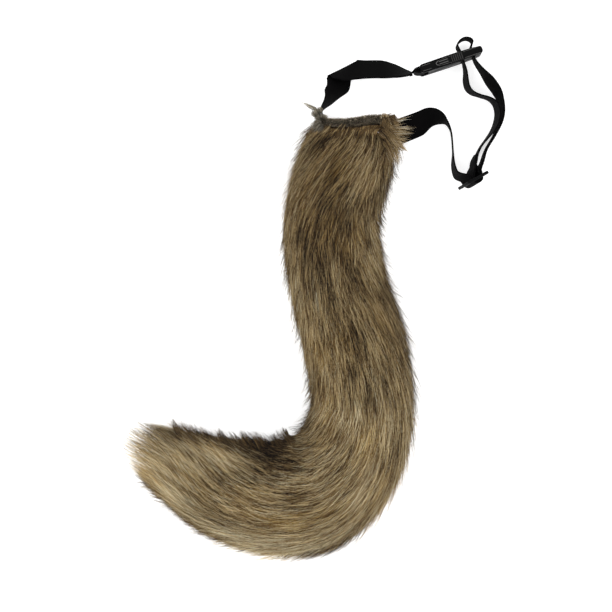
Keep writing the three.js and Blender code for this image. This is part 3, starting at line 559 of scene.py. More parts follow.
def hairs(name, path, out, width, tone, warm=None):
    """Three-sided tapering hairs along paths, an array of hair, point and place. The tone at each point, the
    share of the way along each hair and how warm its colour is, in WARM_STEPS steps, are kept as attributes
    and as the map that a bake goes through. A hair that would pass LEFT_END is made shorter."""
    count, points = path.shape[:2]
    root = path[:, :1]
    leftward = root[..., 0] - path[:, -1:, 0]
    room = (root[..., 0] - LEFT_END) / np.maximum(leftward, 1e-6)
    room = np.where(leftward > 0, np.clip(room, 0, 1), 1)
    path = root + (path - root) * room[..., None]
    rings = points - 1
    way = unit(np.gradient(path, axis=1))
    across = unit(np.cross(way, out[:, None]))
    up = np.cross(across, way)
    share = np.linspace(0, 1, points)[:rings]
    half = (width[:, None] * (1 - share**1.5 * HAIR_TAPER) / 2)[..., None]
    at = path[:, :rings]
    a, b = across[:, :rings] * half, up[:, :rings] * half
    ring = np.stack([at - a, at + a, at + b], 2).reshape(count, rings * 3, 3)
    verts = np.concatenate([ring, path[:, -1:]], 1)
    verts[..., 2] = np.maximum(verts[..., 2], HAIR_LOWEST)
    each = rings * 3 + 1
    faces, corner = [[0, 1, 2]], [[0, 1, 2]]
    for k in range(rings):
        for i, j in ((0, 1), (1, 2), (2, 0)):
            if k < rings - 1:
                faces.append([k * 3 + i, k * 3 + 3 + i, k * 3 + 3 + j, k * 3 + j])
                corner.append([i, i, j, j])
            else:
                faces.append([k * 3 + i, rings * 3, k * 3 + j])
                corner.append([i, 1, j])
    flat, corners = np.concatenate(faces).astype(int), np.concatenate(corner)
    loops = (flat[None] + np.arange(count)[:, None] * each).ravel()
    sizes = np.tile([len(f) for f in faces], count)
    piece = mesh_object(name, verts.reshape(-1, 3), loops, sizes)
    along = np.append(np.repeat(share, 3), 1.0)
    mesh = piece.data
    tone = np.concatenate([np.repeat(tone[:, :rings], 3, 1), tone[:, -1:]], 1)
    warm = np.full(count, 0.5) if warm is None else warm
    column = np.clip(warm * WARM_STEPS, 0, WARM_STEPS - 1).astype(int)
    warm = np.repeat(column / (WARM_STEPS - 1), each)
    for key, values in (("tone", tone.ravel()), ("along", np.tile(along, count)), ("warm", warm)):
        mesh.attributes.new(key, "FLOAT", "POINT").data.foreach_set("value", values.astype(np.float32))
    u = (column[:, None] + np.clip(tone, 0.02, 0.98)[:, flat] + (corners[None] - 1) * 0.012) / WARM_STEPS
    v = np.broadcast_to(along[flat] * 0.98 + 0.01, u.shape)
    layer = mesh.uv_layers.new(name="OFBake")
    layer.uv.foreach_set("vector", np.stack([u, v], -1).astype(np.float32).ravel())
    return piece


# The fur


def rising(value, start, over):
    """0 up to start and 1 from over beyond it, rising evenly between."""
    return np.clip((value - start) / over, 0, 1)


def flanks(angle):
    """How far angles are on the inner and on the outer flank, from 0 on top to 1."""
    return np.clip(-np.cos(angle), 0, 1) ** 2, np.clip(np.cos(angle), 0, 1) ** 2


def spread_roots(rng, count, first=ROOTS_FROM):
    """Shares and angles of roots spread evenly over the sleeve, with few on its underside."""
    grid = np.linspace(first, ROOTS_TO, 400)
    wide, high, _ = section_at(grid)
    weight = np.cumsum(wide + high * 1.4)
    share = np.interp(rng.random(count) * weight[-1], weight, grid)
    angle = np.radians(rng.uniform(*UPPER_SIDE, count))
    under = rng.random(count) < UNDERSIDE_PART
    angle[under] = np.radians(rng.uniform(*UNDERSIDE, under.sum()))
    return share, angle


def patch(share, across, wide, at, off, long, broad):
    """A soft patch round a place, 1 at its middle, long along the tail and broad across it in mm."""
    return np.exp(-(((share - at) * TAIL_LENGTH / long) ** 2 + ((across - off) * wide / 2 / broad) ** 2))


def cloudy(rng, share, across, count, long, broad, strength):
    """A patchy change of tone, the sum of count soft patches, some paler and some darker."""
    change = np.zeros(len(share))
    wide, _, _ = section_at(share)
    places = zip(rng.random(count), rng.uniform(-1.1, 1.1, count), rng.choice([-1, 1], count))
    for at, off, sign in places:
        change += sign * strength * patch(share, across, wide, at, off, long, broad)
    return change


def tone_at(share, angle):
    """The fur's tone from the tables, 0 for nearly black to 1 for cream."""
    rows = [r[0] for r in TONES]
    across = np.cos(angle)
    left, middle, right = (np.interp(share, rows, [r[k] for r in TONES]) for k in (1, 2, 3))
    tone = middle + (np.where(across < 0, left, right) - middle) * across**2
    wide, _, _ = section_at(share)
    for at, off, long, broad, change in MOTTLES:
        tone = tone + change * patch(share, across, wide, at, off, long, broad)
    rng = np.random.default_rng(5)
    patches = cloudy(rng, share, across, 100, 17, 9, 0.1) + cloudy(rng, share, across, 300, 22, 3.5, 0.08)
    return tone + np.clip(patches, -0.12, 0.18) * (1 + 0.7 * rising(share, 0.55, 0.2))


def warm_at(share, across):
    """How warm the fur's colour is, 0 for grey-brown to 1 for golden."""
    rng = np.random.default_rng(7)
    return 0.42 + cloudy(rng, share, across, 60, 26, 12, 0.2) + cloudy(rng, share, across, 200, 18, 5, 0.22)


def combed(rng, count, spread):
    """Places on the sleeve with what the hairs that grow nearest to each one have in common."""
    share, angle = spread_roots(rng, count)
    return {
        "share": share,
        "angle": angle,
        "turn": rng.normal(0, spread, count),
        "lift": rng.random(count) ** 2,
        "tone": rng.normal(0, 1, count),
        "long": rng.uniform(*LENGTHS, count),
        "dark": rng.random(count),
    }


def trim(share, angle):
    """How far inside the fur's outer face its hairs end, in mm, where the pile lies flatter on the flanks."""
    inner, outer = flanks(angle)
    top = np.clip((0.3 - share) / 0.2, 0, 1)
    return inner * (4.0 + 2.5 * top) + outer * 6.0 * rising(share, 0.72, 0.15)


def roots_at(share, angle):
    return tail_point(share, angle, np.full(len(share), PILE_DEPTH))


def nearest(places, share, angle):
    """What the nearest of some places has, for roots at shares and angles."""
    tree = kdtree.KDTree(len(places["share"]))
    for i, place in enumerate(roots_at(places["share"], places["angle"])):
        tree.insert(place, i)
    tree.balance()
    near = np.array([tree.find(root)[1] for root in roots_at(share, angle)])
    return {key: values[near] for key, values in places.items()}


def fur_paths(rng, share, angle, length, wisp, lock, rise):
    """Paths of hairs from their roots, gathered towards their wisp, and the wisps towards their lock."""
    t = np.linspace(0, 1, HAIR_POINTS)[None]
    wide, high, comb = section_at(share)
    across_radius = np.maximum((wide + high) / 4, 8)
    flat, inner = np.clip(np.sin(angle), 0, 1), flanks(angle)[0]
    tip, end = rising(share, 0.72, 0.12), rising(share, 0.82, 0.09)
    turn = (np.sin(comb) * (1 - 0.9 * end) + 0.45 * tip * (1 - 0.7 * end) * inner) * flat
    turn = turn + lock["turn"] + wisp["turn"]
    turn += rng.normal(0, HAIR_TURN, len(share)) * (1 + 3 * tip)
    drift = turn * length / across_radius
    ends = []
    for key, own in (("share", share), ("angle", angle)):
        to_lock = (wisp[key] - lock[key])[:, None] * (1 - LOCK_GATHER * t**LOCK_POWER)
        to_wisp = (own - wisp[key])[:, None] * (1 - WISP_GATHER * t**WISP_POWER)
        ends.append(lock[key][:, None] + to_lock + to_wisp)
    s = ends[0] + t * (length / TAIL_LENGTH)[:, None]
    a = ends[1] + t * drift[:, None]
    flare = np.abs(np.cos(angle)) ** 4 * (lock["lift"] * 2 + wisp["lift"] * 2)
    flare = flare + np.sin(comb) * length * 0.12 * inner
    rise = np.minimum(rise + trim(share, angle), PILE_DEPTH - 2)
    depth = (PILE_DEPTH + 1.5) + (rise - flare - PILE_DEPTH - 1.5)[:, None] * t**0.62
    path = tail_point(s, a, depth)
    low = np.linspace(1.5, 0.5, HAIR_POINTS)[None] + rng.random(len(share))[:, None] * 2.5
    path[..., 2] = np.maximum(path[..., 2], low)
    return path


def grow_fur(rng, cfg, count, length, width, rise, name, look, parts):
    """Grows count hairs in stretches of the tail, each a piece of its own."""
    share, angle = spread_roots(rng, count, FUR_FROM)
    wisp = nearest(combed(rng, cfg.wisps, WISP_TURN), share, angle)
    lock = nearest(combed(rng, cfg.locks, LOCK_TURN), wisp["share"], wisp["angle"])
    side = np.abs(np.cos(angle))
    tip = rising(share, 0.8, 0.1)
    size = 1 + tip * (0.74 * np.clip(np.sin(angle), 0, 1) ** 2 - 0.1 - TIP_SLANT * 0.5 * np.cos(angle))
    size *= 1 + tip * rng.uniform(-0.2, 0.1, count)
    long = length * size * wisp["long"] * rng.uniform(*LENGTHS, count)
    height = rise[0] + (rise[1] - rise[0]) * rng.random(count) - np.clip(lock["tone"], -1.6, 1.6) * 0.15
    path = fur_paths(rng, share, angle, long, wisp, lock, height)
    middle = share + 0.6 * long / TAIL_LENGTH
    uneven = lock["tone"] * 0.05 + wisp["tone"] * 0.08 + rng.normal(0, 0.2, count)
    tone = tone_at(middle, angle) + uneven * (1 + 0.5 * rising(share, 0.3, 0.3))
    tone -= np.clip(height / 12, 0, 1) * 0.12
    rim = np.clip(side * 2 - 1, 0, 1) * np.clip((share - 0.5) / 0.25, 0.3, 1)
    rim = np.maximum(rim, 0.3 * tip)
    dark = -rng.uniform(0.15, 0.45, count) - rim * 0.2
    dark = np.where(wisp["dark"] + rng.normal(0, 0.5, count) < 0.36 + 0.4 * rim, dark, 0.06)
    tone = tone[:, None] + dark[:, None] * np.linspace(0, 1, HAIR_POINTS) ** 2.5
    tone = np.clip(tone, 0, 1)
    warm = warm_at(middle, np.cos(angle)) - side**4 * 0.42 + rng.normal(0, 0.12, count)
    out = outward(np.clip(middle, 0, 1), angle)
    wide = width * rng.uniform(0.6, 1.2, count)
    for part, own in zip(parts, np.array_split(np.argsort(share), len(parts))):
        piece = hairs(f"{name}_{part}", path[own], out[own], wide[own], tone[own], warm[own])
        dress(piece, look, "fur")


def sleeve_look(cfg):
    look, tree, shader = new_look("Fur backing", 0.9, 0.2)
    stops = [(0.0, cfg.black), (0.3, cfg.brown), (0.7, cfg.tan), (1.0, cfg.sand)]
    body = ramp(tree, attribute(tree, "tone"), stops)
    stretch = add(tree, "ShaderNodeMapping")
    stretch.inputs["Scale"].default_value = (260, 12, 1)
    tree.links.new(add(tree, "ShaderNodeTexCoord").outputs["UV"], stretch.inputs["Vector"])
    streaks = noise(tree, stretch.outputs["Vector"], 1, 3)
    shade = ramp(tree, streaks, [(0.3, 0.25), (0.7, 0.9)])
    tree.links.new(multiply(tree, body, shade), shader.inputs["Base Color"])
    roughen(tree, shader, streaks, 0.8, 0.001)
    return look


class TAIL_OT_sleeve(bpy.types.Operator):
    """Makes the stuffed sleeve of fur cloth that the hairs grow from"""

    bl_idname = "costume_tail.sleeve"
    bl_label = "Sleeve"

    def execute(self, context):
        piece, share, angle, full = rounded_roll("fur_backing", 72, 150, 0.03)
        at = share * (SLEEVE_END - 0.006) + 0.006
        skin = tail_point(at, angle, np.full(len(at), PILE_DEPTH + 0.5))
        skin[:, 2] = np.maximum(skin[:, 2], 3.5)
        wide, high, _ = section_at(at)
        core = tail_point(at, angle * 0 + math.pi / 2, wide / 2)
        core[:, 2] = high * MIDDLE_RISE
        move_points(piece.data, core + (skin - core) * full[:, None])
        tone = np.clip(tone_at(at, angle) - 0.12, 0, 1).astype(np.float32)
        piece.data.attributes.new("tone", "FLOAT", "POINT").data.foreach_set("value", tone)
        piece.data.uv_layers[0].name = "fur"
        turn_outward()
        dress(piece, sleeve_look(context.scene.tail_fur), "fur", "fur_tail")
        return {"FINISHED"}


class TAIL_OT_underfur(bpy.types.Operator):
    """Grows the dense underfur over the sleeve"""

    bl_idname = "costume_tail.underfur"
    bl_label = "Underfur"

    def execute(self, context):
        cfg = context.scene.tail_fur
        rng = np.random.default_rng(11)
        grow_fur(
            rng, cfg, cfg.under_count, cfg.under_length / MM, cfg.hair_width / MM * 1.5, (3.5, 8.0),
            "underfur", fur_look("Underfur", 0.58), ("upper", "lower"),
        )
        return {"FINISHED"}


class TAIL_OT_guard_hair(bpy.types.Operator):
    """Grows the longer guard hairs in locks over the underfur"""

    bl_idname = "costume_tail.guard_hair"
    bl_label = "Guard hair"

    def execute(self, context):
        cfg = context.scene.tail_fur
        rng = np.random.default_rng(23)
        grow_fur(
            rng, cfg, cfg.guard_count, cfg.guard_length / MM, cfg.hair_width / MM, (0.0, 5.0),
            "guard_hair", fur_look("Guard hair", 0.6), ("upper", "middle", "lower"),
        )
        return {"FINISHED"}


class TAIL_OT_top_hair(bpy.types.Operator):
    """Lays single dark and pale hairs over the fur, and grows the fine ones that stand off its outline"""

    bl_idname = "costume_tail.top_hair"
    bl_label = "Top and stray hair"

    def execute(self, context):
        cfg = context.scene.tail_fur
        rng = np.random.default_rng(29)
        self.top(rng, cfg.top_count)
        self.stray(rng, cfg.stray_count)
        self.fringe(rng, cfg.fringe_count)
        return {"FINISHED"}

    def top(self, rng, count):
        share = rng.uniform(0.01, SLEEVE_END, count)
        angle = np.arccos(rng.uniform(-0.93, 0.93, count))
        dark = rng.random(count) < 0.6
        change = np.where(dark, rng.uniform(-0.42, -0.22, count), rng.uniform(0.14, 0.3, count))
        off = rng.uniform(-0.8, 1.2, count)
        long = rng.uniform(13, 28, count)
        self.lay("top_hair", rng, share, angle, long, off, tone_at(share, angle) + change, (0.3, 0.52))

    def stray(self, rng, count):
        share = rng.uniform(0.01, ROOTS_TO, count)
        flank = rng.choice([0, math.pi], count) + rng.normal(0, 0.3, count)
        angle = np.where(rng.random(count) < 0.8, flank, rng.uniform(0, math.pi, count))
        long = rng.uniform(14, 32, count)
        _, _, comb = section_at(share)
        off = rng.exponential(1, count) * (1.5 + 3.5 * np.abs(np.cos(angle)) ** 6)
        off = off + np.sin(comb) * long * 0.4 * flanks(angle)[0]
        tone = tone_at(share, angle) - 0.26 + rng.normal(0, 0.14, count)
        self.lay("stray_hair", rng, share, angle, long, np.minimum(off, 12), tone, (0.4, 0.62))

    def fringe(self, rng, count):
        """Small dark tufts that stand up along the bend and the tip"""
        tufts = FRINGE_TUFTS
        at, reach = rng.uniform(0.62, SLEEVE_END + 0.03, tufts), rng.uniform(0.35, 1, tufts)
        outer = rng.random(tufts) < 0.3
        tuft = rng.integers(0, tufts, count)
        outer = outer[tuft]
        share = at[tuft] + rng.normal(0, 0.004, count) * np.where(outer, 4, 1)
        angle = np.radians(np.where(outer, 8, 174) + rng.normal(0, 11, count))
        long = rng.uniform(9, 24, count) * reach[tuft] + 4
        stand = np.where(outer, rng.uniform(0.1, 0.4, count), rng.uniform(0.3, 0.8, count))
        off, tone = np.minimum(long * stand, 14), rng.uniform(0.0, 0.36, count)
        self.lay("fringe_hair", rng, share, angle, long * 0.8, off, tone, (0.5, 0.85))

    def lay(self, name, rng, share, angle, long, off, tone, widths):
        _, _, comb = section_at(share)
        t = np.linspace(0, 1, HAIR_POINTS)[None]
        count = len(share)
        turn = (np.sin(comb) * np.sin(angle) + rng.normal(0, 0.1, count)) * long / 40
        depth = 4 - (4 + off)[:, None] * t**0.9 + trim(share, angle)[:, None]
        shares = share[:, None] + t * (long / TAIL_LENGTH)[:, None]
        path = tail_point(shares, angle[:, None] + t * turn[:, None], depth)
        tones = tone[:, None] - np.array([0, 0.06, 0.16]) * (rng.random(count) < 0.6)[:, None]
        width, tones = rng.uniform(*widths, count), np.clip(tones, 0, 1)
        piece = hairs(name, path, outward(share, angle), width, tones, np.full(count, 0.25))
        dress(piece, fur_look(name.replace("_", " ").capitalize(), 0.8), "fur")


class TAIL_OT_tufts(bpy.types.Operator):
    """Grows the tufts round the hem's corners"""

    bl_idname = "costume_tail.tufts"
    bl_label = "Corner tufts"

    def execute(self, context):
        cfg = context.scene.tail_fur
        rng = np.random.default_rng(31)
        pale = [c * 0.7 + 0.12 for c in cfg.sand]
        grey = [scaled(CORNER_GREY, by) for by in (0.12, 0.45, 1.0, 2.2, 3.8)]
        self.grow(rng, "corner_pile", [r for r in TUFTS if r[0] < 0], fur_look("Corner pile", 0.6, grey))
        colours = (cfg.black, cfg.brown, cfg.tan, pale, PALE_TUFT)
        self.grow(rng, "corner_tufts", [r for r in TUFTS if r[0] > 0], fur_look("Tuft hair", 0.6, colours))
        return {"FINISHED"}

    def grow(self, rng, name, rows, look):
        paths, outs, widths, tones, warmth = [], [], [], [], []
        t = np.linspace(0, 1, 4)
        for x, y, z, turn, rise, long, wide, spread, tone, each in rows:
            heading = turned(turn) * math.cos(math.radians(rise)) + [0, 0, math.sin(math.radians(rise))]
            across = unit(np.cross(heading, [0, 0, 1.0]))
            up = np.cross(across, heading)
            base = np.array([x * HEM_LENGTH / 2, y * HEM_DEPTH, z * HEM_HEIGHT]) - heading * 4
            a = rng.uniform(-1, 1, each)
            b = rng.normal(0, 0.5, each)
            reach = long * LOCK_LENGTH * rng.beta(2.2, 1.6, each) * 1.25 + 4
            half = wide * LOCK_WIDTH / 2
            root = base + across * (a * half)[:, None] + up * (b * TUFT_THICKNESS / 2)[:, None]
            fan = a * half * (1 + spread) + rng.normal(0, 1, each) * half * (0.1 + 0.5 * max(spread, 0))
            fan *= np.where(spread < 0, 1 - reach / (long * LOCK_LENGTH + 4), 1)
            tip = base + heading * reach[:, None] + across * fan[:, None]
            tip += up * (b * 0.4 * TUFT_THICKNESS)[:, None]
            bend = across * rng.normal(0, 1.0, each)[:, None] + up * rng.uniform(0, 2, each)[:, None]
            path = root[:, None] + (tip - root)[:, None] * t[None, :, None]
            path += bend[:, None] * np.sin(t * math.pi)[None, :, None]
            paths.append(path)
            outs.append(np.tile(up, (each, 1)))
            widths.append(rng.uniform(0.26, 0.44, each))
            tones.append((tone + rng.normal(0, 0.19, each))[:, None] + np.array([-0.14, -0.04, 0.04, 0.1]))
            warmth.append(rng.uniform(0.05, 0.45, each))
        piece = hairs(
            name, np.concatenate(paths), np.concatenate(outs), np.concatenate(widths),
            np.clip(np.concatenate(tones), 0, 1), np.concatenate(warmth),
        )
        dress(piece, look, "fur")


# The hem


def hem_point(way, angle, grow, reach=1.0):
    """Points of the hem from -1 to 1 along it, grown by mm, at angles round it and shares of its depth."""
    taper = 1 - HEM_TAPER * np.abs(way) ** 6
    squared = [np.sign(v) * np.abs(v) ** HEM_ROUND * reach for v in (np.cos(angle), np.sin(angle))]
    y = squared[0] * (HEM_DEPTH / 2 + grow) * taper - HEM_DIP * (1 - way**2) + HEM_DIP / 2
    y = y + np.interp(way, HEM_WAYS, HEM_SHIFTS)
    z = squared[1] * (HEM_HEIGHT / 2 + grow) * taper + HEM_HEIGHT / 2
    return np.stack([way * (HEM_LENGTH / 2 + grow), y, z], -1)


class TAIL_OT_hem(bpy.types.Operator):
    """Makes the rolled hem with its short brushed pile"""

    bl_idname = "costume_tail.hem"
    bl_label = "Hem"

    def execute(self, context):
        piece, share, angle, full = rounded_roll("hem_roll", 48, 60, 0.06)
        verts = hem_point(share * 2 - 1, angle, -2.4, full)
        verts[:, 2] = np.maximum(verts[:, 2], 0.4)
        move_points(piece.data, verts)
        turn_outward()
        hem = context.scene.tail_fur.hem
        look, tree, shader = new_look("Hem cloth", 0.95, 0.1)
        spots = noise(tree, object_place(tree), 160, 4)
        body = ramp(tree, spots, [(0.35, scaled(hem, 0.4)), (0.7, scaled(hem, 1.2))])
        tree.links.new(body, shader.inputs["Base Color"])
        dress(piece, look, "hem_cloth", "top_hem")
        self.pile(hem)
        self.edge()
        return {"FINISHED"}

    def pile(self, hem):
        """The short brushed hairs all over the roll"""
        rng = np.random.default_rng(41)
        count = HEM_PILE
        way = rng.uniform(-1.02, 1, count)
        angle = rng.uniform(-0.45, math.pi + 0.6, count)
        root = hem_point(way, angle, -2.6)
        out = unit(hem_point(way, angle, 1.0) - root)
        leans = [rng.normal(mean, spread, count) for mean, spread in ((-0.2, 0.6), (-0.2, 0.5), (0, 0.25))]
        long = rng.uniform(1.8, 4.4, count)[:, None]
        tip = root + unit(out * 0.6 + np.stack(leans, -1)) * long
        middle = (root + tip) / 2 + out * 0.5
        path = np.stack([root, middle, tip], 1)
        spot = np.sin(way * 23 + np.sin(way * 9) * 2) * 0.06 + np.sin(way * 61 + angle * 7) * 0.08
        spot += cloudy(rng, way, np.cos(angle), 160, 1500, 6, 0.05)
        tone = (0.42 + spot + rng.normal(0, 0.32, count))[:, None] + np.array([-0.2, 0, 0.12])
        side = unit(np.cross(out, [0, 0, 1.0]) + 1e-3)
        piece = hairs("hem_pile", path, side, rng.uniform(0.35, 0.6, count), np.clip(tone, 0, 1))
        colours = [scaled(hem, by) for by in (0.12, 0.45, 1.0, 2.0, 4.0)]
        dress(piece, fur_look("Hem pile", 0.5, colours), "hem_cloth")

    def edge(self):
        """Hairs that lie from under the hem's lower edge over the top of the fur"""
        rng = np.random.default_rng(43)
        count = HEM_EDGE
        way = rng.uniform(-1.04, 0.9, count)
        root = hem_point(way, np.full(count, math.pi - 0.05), -0.6)
        root[:, 2] -= rng.uniform(0, 6, count)
        long = rng.uniform(6, 20, count) * rng.uniform(0.6, 1, count)
        away = unit(np.stack([-0.42 + rng.normal(0, 0.16, count), np.full(count, -0.8), np.zeros(count)], -1))
        tip = root + away * long[:, None]
        tip[:, 2] = rng.uniform(25, 31, count) + long * 0.3 - np.abs(way) ** 3 * 7
        middle = (root + tip) / 2
        middle[:, 2] = tip[:, 2] + 0.6
        path = np.stack([root, middle, tip], 1)
        tone = np.clip((0.26 + rng.normal(0, 0.16, count))[:, None] + np.array([-0.14, -0.04, 0.16]), 0, 1)
        out = np.tile([0, 0, 1.0], (count, 1))
        piece = hairs("hem_edge_hair", path, out, rng.uniform(0.35, 0.6, count), tone)
        # Painted shade: these hairs get the darkest roots of all, where they come out from under the hem's
        # lower edge.
        dress(piece, fur_look("Hem edge hair", 0.3), "fur")


# The belt's rows: a middle point and the way from the lower edge to the upper one


def frame_of(at, along, across):
    """Columns of a piece's own directions, along the webbing, through it and across it, and its place."""
    return np.column_stack([along, np.cross(across, along), across]), np.array(at, float)


def buckle_frame():
    along, back, lean = turned(BUCKLE_TURN), turned(BUCKLE_TURN + 90), math.radians(BUCKLE_LEAN)
    across = np.array([0, 0, 1.0]) * math.cos(lean) + back * math.sin(lean)
    height = (BUCKLE_WIDTH / 2 + BUTTON_PROUD) * math.cos(lean) + SOCKET_THICKNESS / 2 * math.sin(lean)
    return frame_of((*BUCKLE_AT, height), along, across)


def slider_frame():
    tilt, heading, up = math.radians(SLIDER_TILT), turned(SLIDER_TURN), np.array([0, 0, 1.0])
    across = up * math.cos(tilt) + heading * math.sin(tilt)
    along = heading * math.cos(tilt) - up * math.sin(tilt)
    height = (SLIDER_WIDTH * math.cos(tilt) + SLIDER_LENGTH * math.sin(tilt)) / 2
    return frame_of((*SLIDER_AT, height), along, across)


BUCKLE, SLIDER = buckle_frame(), slider_frame()


def row_in(base, x, y):
    turn, at = base
    return turn @ [x, y, 0] + at, turn[:, 2]


def row_at(x, y, row):
    rise = math.sqrt(1 - row[3] ** 2 - row[4] ** 2)
    return np.array([x, y, (row[2] + rise / 2) * STRAP_WIDTH]), np.array([row[3], row[4], rise])


def rows_between(start, end, table):
    return [
        row_at(start[0] + (end[0] - start[0]) * r[0], start[1] + (end[1] - start[1]) * r[1], r) for r in table
    ]


def strand_rows(table):
    plug = row_in(BUCKLE, (FIRST_SLOT + SECOND_SLOT) / 2, 0)[0]
    rows = []
    for r in table:
        x = SLIDER_AT[0] + (plug[0] - SLIDER_AT[0]) * r[0] + r[1] * STRAND_BOW
        rows.append(row_at(x, SLIDER_AT[1] + (plug[1] - SLIDER_AT[1]) * r[0], r))
    return rows


def rows_round(base, bar_at, half_x, half_y, layers, first, last):
    off = GAP + STRAP_THICKNESS / 2 + layers * (STRAP_THICKNESS + GAP)
    rows = []
    for share in (0, 0.25, 0.5, 0.75, 1):
        angle = math.radians(first + (last - first) * share)
        x, y = bar_at + (half_x + off) * math.cos(angle), (half_y + off) * math.sin(angle)
        rows.append(row_in(base, x, y))
    return rows


def rows_laid_on(rows):
    laid = []
    for (point, side), (after, _) in zip(rows, rows[1:]):
        normal = unit(np.cross(unit(after - point), side))
        laid.append((point + normal * STRAP_THICKNESS * SEAM, side))
    return laid[::-1]


def stub_rows(at, degrees, length, row):
    x, y, _ = turned(degrees)
    return [row_at(at[0] + x * off, at[1] + y * off, row) for off in (length, length * STUB_MIDDLE)]


def short_route():
    stub = stub_rows(SHORT_STRAP_AT, SHORT_STUB_TURN, SHORT_STUB, SHORT_STRAP[0])
    free = rows_between(SHORT_STRAP_AT, BUCKLE_AT, SHORT_STRAP)
    bar = SOCKET_BAR / 2
    off = bar + GAP + STRAP_THICKNESS / 2
    near = [row_in(BUCKLE, -SOCKET_LEAD, bar), row_in(BUCKLE, -SOCKET_NEAR, off)]
    around = rows_round(BUCKLE, SOCKET_BAR_AT, bar, bar, 0, 90, -90)
    back = [row_in(BUCKLE, -SOCKET_NEAR, -bar), row_in(BUCKLE, -SOCKET_LEAD, bar - STRAP_THICKNESS * SEAM)]
    lap = rows_laid_on([free[-1], *near])
    return [*stub, *free, *near, *around, *back, *lap[2:]]


def long_route():
    stub = stub_rows(LONG_STRAP_AT, LONG_STUB_TURN, LONG_STUB, TAIL_STRAND[0])
    stub = [(point - [0, 0, sunk], side) for (point, side), sunk in zip(stub, LONG_STUB_SUNK)]
    to_slider = [*rows_between(LONG_STRAP_AT, SLIDER_AT, TAIL_STRAND), row_in(SLIDER, *SLIDER_ENTRY)]
    bar, thick = SLIDER_BAR / 2, SLIDER_THICKNESS / 2
    through = rows_round(SLIDER, 0, bar, thick, 1, 180, 360)
    outer = [row_in(SLIDER, *SLIDER_EXIT), *strand_rows(OUTER_STRAND)]
    clear, below = SOCKET_THICKNESS * CLEAR_OF_PLUG, SOCKET_THICKNESS * BELOW_PLUG
    loop = [
        row_in(BUCKLE, FIRST_SLOT + (SECOND_SLOT - FIRST_SLOT) * place, rise * TAKE_UP_LOOP)
        for place, rise in TAKE_UP
    ]
    over = [row_in(BUCKLE, SECOND_SLOT, -below), row_in(BUCKLE, SECOND_SLOT, clear), *loop]
    over += [row_in(BUCKLE, FIRST_SLOT, clear), row_in(BUCKLE, FIRST_SLOT, -below)]
    inner = [*strand_rows(INNER_STRAND), row_in(SLIDER, *SLIDER_OVER)]
    around = rows_round(SLIDER, 0, bar, thick, 0, 180, 360)
    lap = rows_laid_on(inner[-SEWN_ROWS - 1 :])
    return [*stub, *to_slider, *through, *outer, *over, *inner, *around, row_in(SLIDER, *SLIDER_LAP), *lap]


def webbing_point(route, place, across):
    """Points of the webbing at places along its route, from -0.5 to 0.5 across it."""
    points, sides = [r[0] for r in route], [r[1] for r in route]
    step = 1e-4
    way = unit(line_through(points, place + step) - line_through(points, place - step))
    side = unit(line_through(sides, place))
    slant = np.maximum(np.linalg.norm(np.cross(way, side), axis=1), LEAST_SLANT)
    return line_through(points, place) + side * (across * STRAP_WIDTH / slant)[:, None]


def webbing(name, route, look, node, steps):
    """A strap as a grid laid along its route, then given its thickness and rounded edges."""
    deselect()
    bpy.ops.mesh.primitive_grid_add(x_subdivisions=steps, y_subdivisions=12, size=1)
    piece = bpy.context.object
    piece.name = piece.data.name = name
    mesh = piece.data
    co = points_of(mesh)
    place = co[:, 0] + 0.5
    move_points(mesh, webbing_point(route, place, co[:, 1]))
    run = np.linspace(0, 1, 2000)
    line = line_through([r[0] for r in route], run)
    length = np.concatenate([[0], np.cumsum(np.linalg.norm(np.diff(line, axis=0), axis=1))])
    at = np.empty(len(mesh.loops), np.int32)
    mesh.loops.foreach_get("vertex_index", at)
    layer = mesh.uv_layers[0]
    layer.name = "weave"
    uv = np.stack([np.interp(place, run, length), (co[:, 1] + 0.5) * STRAP_WIDTH], -1)[at]
    layer.uv.foreach_set("vector", uv.astype(np.float32).ravel())
    solid = piece.modifiers.new("Thickness", "SOLIDIFY")
    solid.thickness, solid.offset = STRAP_THICKNESS * MM, 0
    bpy.ops.object.modifier_apply(modifier=solid.name)
    round_edges(piece, 0.4 * MM, 2, 60)
    bpy.ops.object.shade_smooth_by_angle(angle=math.radians(50))
    dress(piece, look, "webbing", node)


def webbing_look(colour):
    look, tree, shader = new_look("Black webbing", 0.8, 0.03)
    split = add(tree, "ShaderNodeSeparateXYZ")
    tree.links.new(add(tree, "ShaderNodeUVMap", uv_map="weave").outputs["UV"], split.inputs["Vector"])
    waves = []
    for axis, pitch in (("X", 1.5), ("Y", 1.3)):
        turn = worked_out(tree, "MULTIPLY", split.outputs[axis], 2 * math.pi / pitch)
        waves.append(worked_out(tree, "SINE", turn))
    level = in_range(tree, worked_out(tree, "MULTIPLY", *waves), from_min=-1)
    body = ramp(tree, level, [(0.0, scaled(colour, 0.4)), (1.0, scaled(colour, 1.8))])
    tree.links.new(body, shader.inputs["Base Color"])
    roughen(tree, shader, level, 0.7, 0.0003)
    return look


class TAIL_OT_belt(bpy.types.Operator):
    """Makes the two straps of black webbing"""

    bl_idname = "costume_tail.belt"
    bl_label = "Belt webbing"

    def execute(self, context):
        look = webbing_look(context.scene.tail_belt.webbing)
        webbing("webbing_short", short_route(), look, "strap_short", 150)
        webbing("webbing_long", long_route(), look, "strap_long", 420)
        return {"FINISHED"}


# The buckle and adjuster


